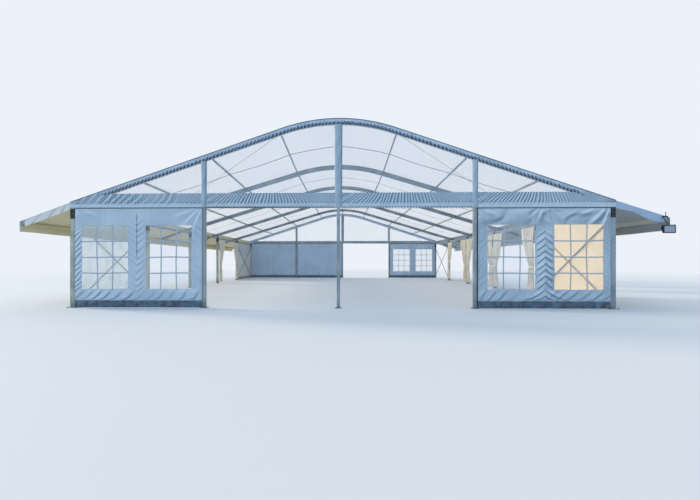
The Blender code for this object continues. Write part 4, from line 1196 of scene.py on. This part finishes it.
cord_finish = Finish("lacing_cord", {"Specular IOR Level": 0.2})
twist = cord_finish.noise(cord_finish.place(), 220.0, 3.0, (1, 1, 2.5))
cord_colour = cord_finish.tint(twist, screen_colour(70, 76, 84), screen_colour(128, 134, 140))
cord_finish.wear(cord_colour, 0.8, twist, 0.001)


def lacing(x, end, relief, low, high):
    """Short cord loops that cross a seam aslant, one every 20 cm, each one half of a flat oval."""
    shapes = []
    turn = np.linspace(0, math.pi, 7)
    for z in np.arange(low, high, 0.2):
        across = x + 0.03 * np.cos(turn)
        up = z + 0.02 * np.cos(turn)
        out = wall_y(across, up, end, relief) + end * (0.002 + 0.008 * np.sin(turn))
        shapes.append(carried(np.stack((across, out, up), axis=-1), circle(0.003, 6)))
    return shapes


def seam_lap(x, end, relief, width, low, high):
    """Narrow cloth strip that covers the seam."""
    z = np.linspace(low, high, 90)
    return strip(np.full_like(z, x), z, width, True, end, relief)


def beam_lacing(low, high, z):
    """Rope in short loops over the band's lower edge, one every 11 cm, out as sine, down as cosine."""
    shapes = []
    turn = np.linspace(-0.5, math.pi, 7)
    out = -(GABLE_FACE + 0.016 + 0.016 * np.sin(turn))
    for x in np.arange(low, high, 0.11):
        loop = np.stack((x + 0.02 * turn, out, z + 0.042 * np.cos(turn)), axis=-1)
        shapes.append(carried(loop, circle(0.011, 6)))
    return shapes


loops = lacing(-SEAM, -1, left_wall_relief, *FRONT_LACING)
laps = [seam_lap(-SEAM, -1, left_wall_relief, 0.02, *FRONT_LACING)]
for x in REAR_SEAMS:
    loops += lacing(x, 1, rear_wall_relief, *REAR_LACING)
    laps.append(seam_lap(x, 1, rear_wall_relief, 0.03, LAP_LOW, SEAM_TOP))
make_piece("wall_lacing", loops, cord_finish, "white_pvc")
# The rope loops are real, and their dark cord is painted shadow: the shaded scallops under the hem.
ropes = [loop for low, high, z in BEAM_ROPES for loop in beam_lacing(low, high, z)]
make_piece("beam_lacing", ropes, cord_finish, "white_pvc")
thicken(make_piece("wall_seam_laps", laps, cord_finish, "white_pvc", crease=80), 0.0012, -1.0)
front_lap = [seam_lap(SEAM, -1, right_wall_relief, 0.04, LAP_LOW, SEAM_TOP)]
thicken(make_piece("front_seam_lap", front_lap, wall_cloth, "white_pvc", crease=80), 0.0012, -1.0)

# Side wall braces
# Round steel tubes crossed between the legs of the first and last side bays, painted grey, with a
# flattened end and a bolt through a lug at each leg.
paint = Finish("brace_paint", {"Metallic": 0.3})
chips = paint.band(paint.noise(paint.place(), 26.0, 5.0), 0.62, 0.7)
tone = paint.noise(paint.place(), 3.0, 4.0)
grey = paint.tint(tone, screen_colour(136, 134, 124), screen_colour(178, 172, 156))
paint.wear(paint.tint(0.7 * chips, grey, screen_colour(78, 66, 56)), 0.42 + 0.25 * chips, chips, 0.0006)
dress([f"side_brace_{side}_{bay}" for side in SIDES for bay in (1, 5)], paint)
BRACE_X = LEG_INNER + 0.045
BRACE_ENDS = (0.16, 3.28)
lugs = []
for side in SIDES.values():
    x = side * BRACE_X
    for near, far in (FRAME_LINES[:2], FRAME_LINES[-2:]):
        for y, way in ((near + RAFTER_HALF, 1), (far - RAFTER_HALF, -1)):
            bolt_y = y + way * 0.03
            for z in BRACE_ENDS:
                lugs.append(bar((x, y, z), (x, y + way * 0.012, z), rounded(0.07, 0.13, 0.01)))
                lugs.append(bar((x - 0.045, bolt_y, z), (x + 0.045, bolt_y, z), circle(0.009, 8)))
make_piece("brace_lugs", lugs, zinc, "steel")

# Curtains
# Cream cloth gathered on a rail along the inner faces of the legs, one drape each side of a leg, tied
# back at the waist by a band of the same cloth and flaring again to its hem.
DRAPE_TOP = 3.485
DRAPE_LOW = 0.13
TIE = 1.45
DRAPE_X = LEG_INNER - 0.05
DRAPE_WIDTHS = ((DRAPE_LOW, 0.62), (0.7, 0.58), (1.3, 0.45), (TIE, 0.42), (1.6, 0.50),
                (2.1, 0.80), (2.7, 1.05), (DRAPE_TOP, 1.22))
FOLDS = 7
FOLD_CLOTH = 0.24
DRAPE_GAP = 0.09
CURTAIN_RAIL_Z = 3.5
DRAPE_SETS = {"right": [(1, 1), (2, -1), (2, 1), (3, -1), (3, 1), (4, -1)], "left": [(3, 1), (4, -1)]}

cream = Finish("cream_cloth", {"Specular IOR Level": 0.2, "Sheen Weight": 0.3})
where = cream.place()
weave = cream.noise(where, 420.0, 2.0, (1, 1, 0.6))
shade = cream.noise(where, 2.0, 4.0, (1, 1, 0.3))
ridge = cream.tint(shade, screen_colour(236, 230, 214), screen_colour(250, 246, 236))
# Painted shade: darker in the drape's fold valleys, by the fold mark.
valley = cream.band(cream.part(cream.mark(), "X"), 0.45, 0.0)
cream.wear(cream.tint(0.75 * valley, ridge, screen_colour(160, 148, 126)), 0.85, weave, 0.0008)
cream.glow_through(0.25, screen_colour(246, 236, 214))


def drape_points(side, post, way):
    """Cloth of a fixed width in sine folds: where the drape is narrow, its folds stand deeper."""
    z = np.linspace(DRAPE_LOW, DRAPE_TOP, 46)[:, None]
    share = np.linspace(0, 1, FOLDS * 8 + 1)[None, :]
    heights, widths = np.array(DRAPE_WIDTHS).T
    width = np.interp(z, heights, widths)
    fold = width / FOLDS
    depth = np.sqrt(np.maximum(FOLD_CLOTH ** 2 - fold ** 2, 0)) / 4
    phase = math.tau * FOLDS * share + 0.5 * np.sin(3 * z + 5 * share) + 0.3 * np.sin(9 * share)
    stand = np.sin(phase) * (0.85 + 0.15 * np.sin(7 * share + z))
    x = side * (DRAPE_X - 0.004 - np.minimum(depth, 0.044) * stand)
    lean = 0.03 * np.sin(math.pi * share) * np.sin(2 * z)
    y = post + way * (DRAPE_GAP + width * share + lean * (width > 0.4) + 0.25 * fold * np.sin(2 * phase))
    order = slice(None, None, -1) if side * way > 0 else slice(None)
    points = np.stack(np.broadcast_arrays(x, y, z), axis=-1)
    # Marks for painted shade, high on the folds' crowns and low in their valleys.
    marks = np.stack(np.broadcast_arrays(0.5 + 0.5 * np.sin(phase), z), axis=-1)
    return points[:, order], marks[:, order]


def tie_band(side, post, way):
    """Flat band looped round the waist of a drape and back to the leg."""
    turn = np.linspace(0, math.tau, 25)[:-1]
    y = post + way * (DRAPE_GAP + 0.21) + 0.23 * np.cos(turn)
    x = side * DRAPE_X + 0.052 * np.sin(turn)
    z = TIE + 0.03 * np.cos(turn) * way
    ring = np.stack((x, y, z), axis=-1)[::-1]
    rows = np.stack([ring + (0, 0, height) for height in (-0.03, 0.0, 0.03)])
    return Shape(rows, grid_quads(3, 24, ring=True), marks=np.ones((72, 2)))


for side_name, hung in DRAPE_SETS.items():
    side = SIDES[side_name]
    node = f"side_curtains_{side_name}"
    low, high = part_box(node)
    x, z = side * (LEG_INNER - 0.0203), CURTAIN_RAIL_Z
    rail_bar = bar((x, low.y, z), (x, high.y, z), rounded(0.034, 0.038, 0.006))
    rail = make_piece(f"curtain_rail_{side_name}", [rail_bar], purlin_metal, "aluminium", stands_for=[node])
    for number, (post, way) in enumerate(hung, start=1):
        drape = cloth(*drape_points(side, FRAME_LINES[post], way))
        make_sheet(f"drape_{side_name}_{number}", [drape], cream, "cream_cloth",
                   flat=(FOLDS * FOLD_CLOTH, 3.4), held="gathered", rests_on=[rail], thickness=0.0012,
                   crease=80)
    bands = [tie_band(side, FRAME_LINES[post], way) for post, way in hung]
    thicken(make_piece(f"drape_ties_{side_name}", bands, cream, "cream_cloth", crease=80), 0.002)

# Floodlight
# Cast housing with a hinged glass front on a strap yoke, hung from the tip of the front right arm by
# two slanting straps; knobs at the pivots hold its tilt.
HEAD_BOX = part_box("floodlight_head")
lamp_x, lamp_y, lamp_z = ((low + high) / 2 for low, high in zip(*HEAD_BOX))
lamp_size = HEAD_BOX[1] - HEAD_BOX[0]
ARM_X = 11.86
ARM_Y = -12.52
STRAP_Y = -12.574
STRAP_FEET = (-0.05, 0.05)
STRAP_HEADS = (11.725, 11.865)
STRAP_HEIGHTS = (3.044, 3.367)
STRAP_BAR = ((11.70, -12.575, 3.352), (11.89, -12.575, 3.352))
STEM_TOP = 3.52
KNOB_REACH = (0.2345, 0.25, 0.256)
BEZEL = {"outer": (0.43, 0.27), "inner": (0.37, 0.21)}

cast = Finish("lamp_cast", {"Metallic": 0.35})
pits = cast.noise(cast.place(), 180.0, 4.0)
dust = cast.band(cast.noise(cast.place(), 12.0, 5.0), 0.4, 0.75)
grey = cast.tint(0.6 * dust, screen_colour(40, 44, 50), screen_colour(88, 92, 96))
cast.wear(grey, 0.42 + 0.25 * dust, pits, 0.0008)
dress(["floodlight_yoke"], cast)

glass = Finish("lamp_glass", {"Metallic": 0.0, "Coat Weight": 0.6, "Coat Roughness": 0.05})
rings = glass.node("TexWave", {"bands_direction": "X"}, {"Vector": glass.place(), "Scale": 12.0})
frost = glass.noise(glass.place(), 30.0, 3.0)
ribbed = glass.tint(rings, screen_colour(120, 130, 142), screen_colour(176, 186, 198))
glass.wear(ribbed, 0.14 + 0.1 * frost, rings, 0.002)

front = lamp_y - lamp_size.y / 2
back_share = np.array([0.0, 0.06, 0.34, 0.42, 0.94, 1.0])
inset = np.array([0.008, 0.0, 0.0, 0.006, 0.038, 0.046])
sections = [rounded(lamp_size.x - 2 * gap, lamp_size.z - 2 * gap, 0.022, 4) for gap in inset]
path = [(lamp_x, front + 0.004 + share * (lamp_size.y - 0.004), lamp_z) for share in back_share]


def along_y(x, z, near, far, outline):
    """Bar along Y at x and z, both from the lamp's middle."""
    return bar((lamp_x + x, near, lamp_z + z), (lamp_x + x, far, lamp_z + z), outline)


fins = [along_y(x, 0.0, lamp_y - 0.01, lamp_y + 0.058, rounded(0.004, 0.19, 0.0015))
        for x in np.linspace(-0.15, 0.15, 11)]
make_piece("floodlight_housing", [carried(path, sections)] + fins, cast, "lamp_housing", body="floodlight",
           stands_for=["floodlight_head"])


def frame_ring(outer, inner, y_front, y_back, radius):
    """Flat ring between two rounded rectangles, closed front and back."""
    rows = []
    for size, y in ((outer, y_back), (outer, y_front), (inner, y_front), (inner, y_back), (outer, y_back)):
        edge = rounded(*size, radius, 4)
        rows.append(np.stack((lamp_x + edge[:, 0], np.full(len(edge), y), lamp_z + edge[:, 1]), axis=-1))
    rows = np.array(rows)
    return Shape(rows, grid_quads(*rows.shape[:2], ring=True))


bezel = frame_ring(BEZEL["outer"], BEZEL["inner"], front + 0.0005, front + 0.008, 0.018)
clips = [along_y(x, z, front + 0.001, front + 0.026, rounded(0.03, 0.014, 0.003))
         for x in (-0.12, 0.12) for z in (-0.131, 0.131)]
make_piece("floodlight_bezel", [bezel] + clips, cast, "lamp_housing", body="floodlight")
pane = along_y(0.0, 0.0, front + 0.003, front + 0.009, rounded(0.38, 0.22, 0.01, 4))
make_piece("floodlight_glass", [pane], glass, "lamp_housing", body="floodlight")

turn = np.arange(24) * math.tau / 24
lobes = (0.021 + 0.0018 * np.cos(6 * turn))[:, None] * circle(1.0, 24)
knobs = [carried([(lamp_x + way * reach, lamp_y, lamp_z) for reach in KNOB_REACH],
                 [lobes, lobes, lobes * 0.7]) for way in (-1, 1)]
low, high = STRAP_HEIGHTS
straps = [bar((lamp_x + foot, lamp_y, low), (head, STRAP_Y, high), rounded(0.026, 0.006, 0.002), (0, 1, 0))
          for foot, head in zip(STRAP_FEET, STRAP_HEADS)]
stem_foot = (ARM_X, ARM_Y, float(awning_z(ARM_X, 1)) - 0.01)
straps.append(bar(stem_foot, (ARM_X, ARM_Y, STEM_TOP), circle(0.012, 10), (0, 1, 0)))
straps.append(bar(*STRAP_BAR, rounded(0.02, 0.04, 0.003)))
make_piece("floodlight_straps", knobs + straps, cast, "steel")

# Floor, light and camera
# A pale floor that melts into the pale surroundings, a broad warm sun low behind the left side and
# a soft sky that is bluer in front. The camera stands where the photograph was taken from.
BACKDROP = (0.84, 0.885, 0.945, 1.0)
FLOOR_COLOUR = (0.62, 0.64, 0.66, 1.0)
SKY_LEVEL = {"rim": 0.93, "gain": 0.24}
SKY_COLOURS = {"behind": (0.95, 0.95, 0.96, 1.0), "ahead": (0.52, 0.74, 1.0, 1.0)}
SUN_TRAVEL = (0.93, -0.30, -0.24)
CAMERA_PLACE = (0.234, -25.519, 1.710)
CAMERA_TURN = 0.0217
scene = bpy.context.scene
scene.view_settings.view_transform = "Standard"
scene.cycles.transparent_max_bounces = 32

ground = Finish("floor")
away = ground.node("VectorMath", {"operation": "LENGTH"}, {0: ground.place()}, "Value")
fade = ground.band(away, 26.0, 70.0)
ground.wear(FLOOR_COLOUR, 0.9)
haze = ground.node("Emission", sockets={"Color": BACKDROP, "Strength": 1.0})
mixed = ground.node("MixShader", sockets={0: fade, 1: Wire(ground, ground.shader.outputs[0]), 2: haze})
ground.tree.links.new(mixed.socket, ground.tree.nodes["Material Output"].inputs["Surface"])
bpy.ops.mesh.primitive_plane_add(size=600, location=(0, 0, 0))
floor = bpy.context.object
floor.name = "floor"
floor.data.materials.append(ground.material)

world = bpy.data.worlds.new("surroundings")
world.use_nodes = True
sky = Nodes(world.node_tree)
seen = sky.node("LightPath", output="Is Camera Ray")
towards = sky.node("TexCoord", output="Generated")
level = SKY_LEVEL["rim"] + SKY_LEVEL["gain"] * sky.band(sky.part(towards, "Z"), 0.0, 0.9)
ahead = sky.band(sky.part(towards, "Y"), 0.4, -0.5)
lighting = sky.tint(ahead, SKY_COLOURS["behind"], SKY_COLOURS["ahead"])
background = world.node_tree.nodes["Background"]
sky.feed(background.inputs["Color"], sky.tint(seen, lighting, BACKDROP))
sky.feed(background.inputs["Strength"], seen + (1 - seen) * level)
scene.world = world

sun = bpy.data.lights.new("sun", "SUN")
sun.energy = 3.4
sun.angle = math.radians(9)
sun.color = (1.0, 0.88, 0.70)
sun_object = bpy.data.objects.new("sun", sun)
sun_object.rotation_euler = mathutils.Vector(SUN_TRAVEL).to_track_quat("-Z", "Y").to_euler()
scene.collection.objects.link(sun_object)

camera = bpy.data.cameras.new("camera")
camera.lens = 18.084
camera.sensor_width = 36.0
camera.shift_x = 0.0184
camera.shift_y = 0.0170
camera_object = bpy.data.objects.new("camera", camera)
camera_object.location = CAMERA_PLACE
camera_object.rotation_euler = (math.radians(90), 0, CAMERA_TURN)
scene.collection.objects.link(camera_object)
scene.camera = camera_object
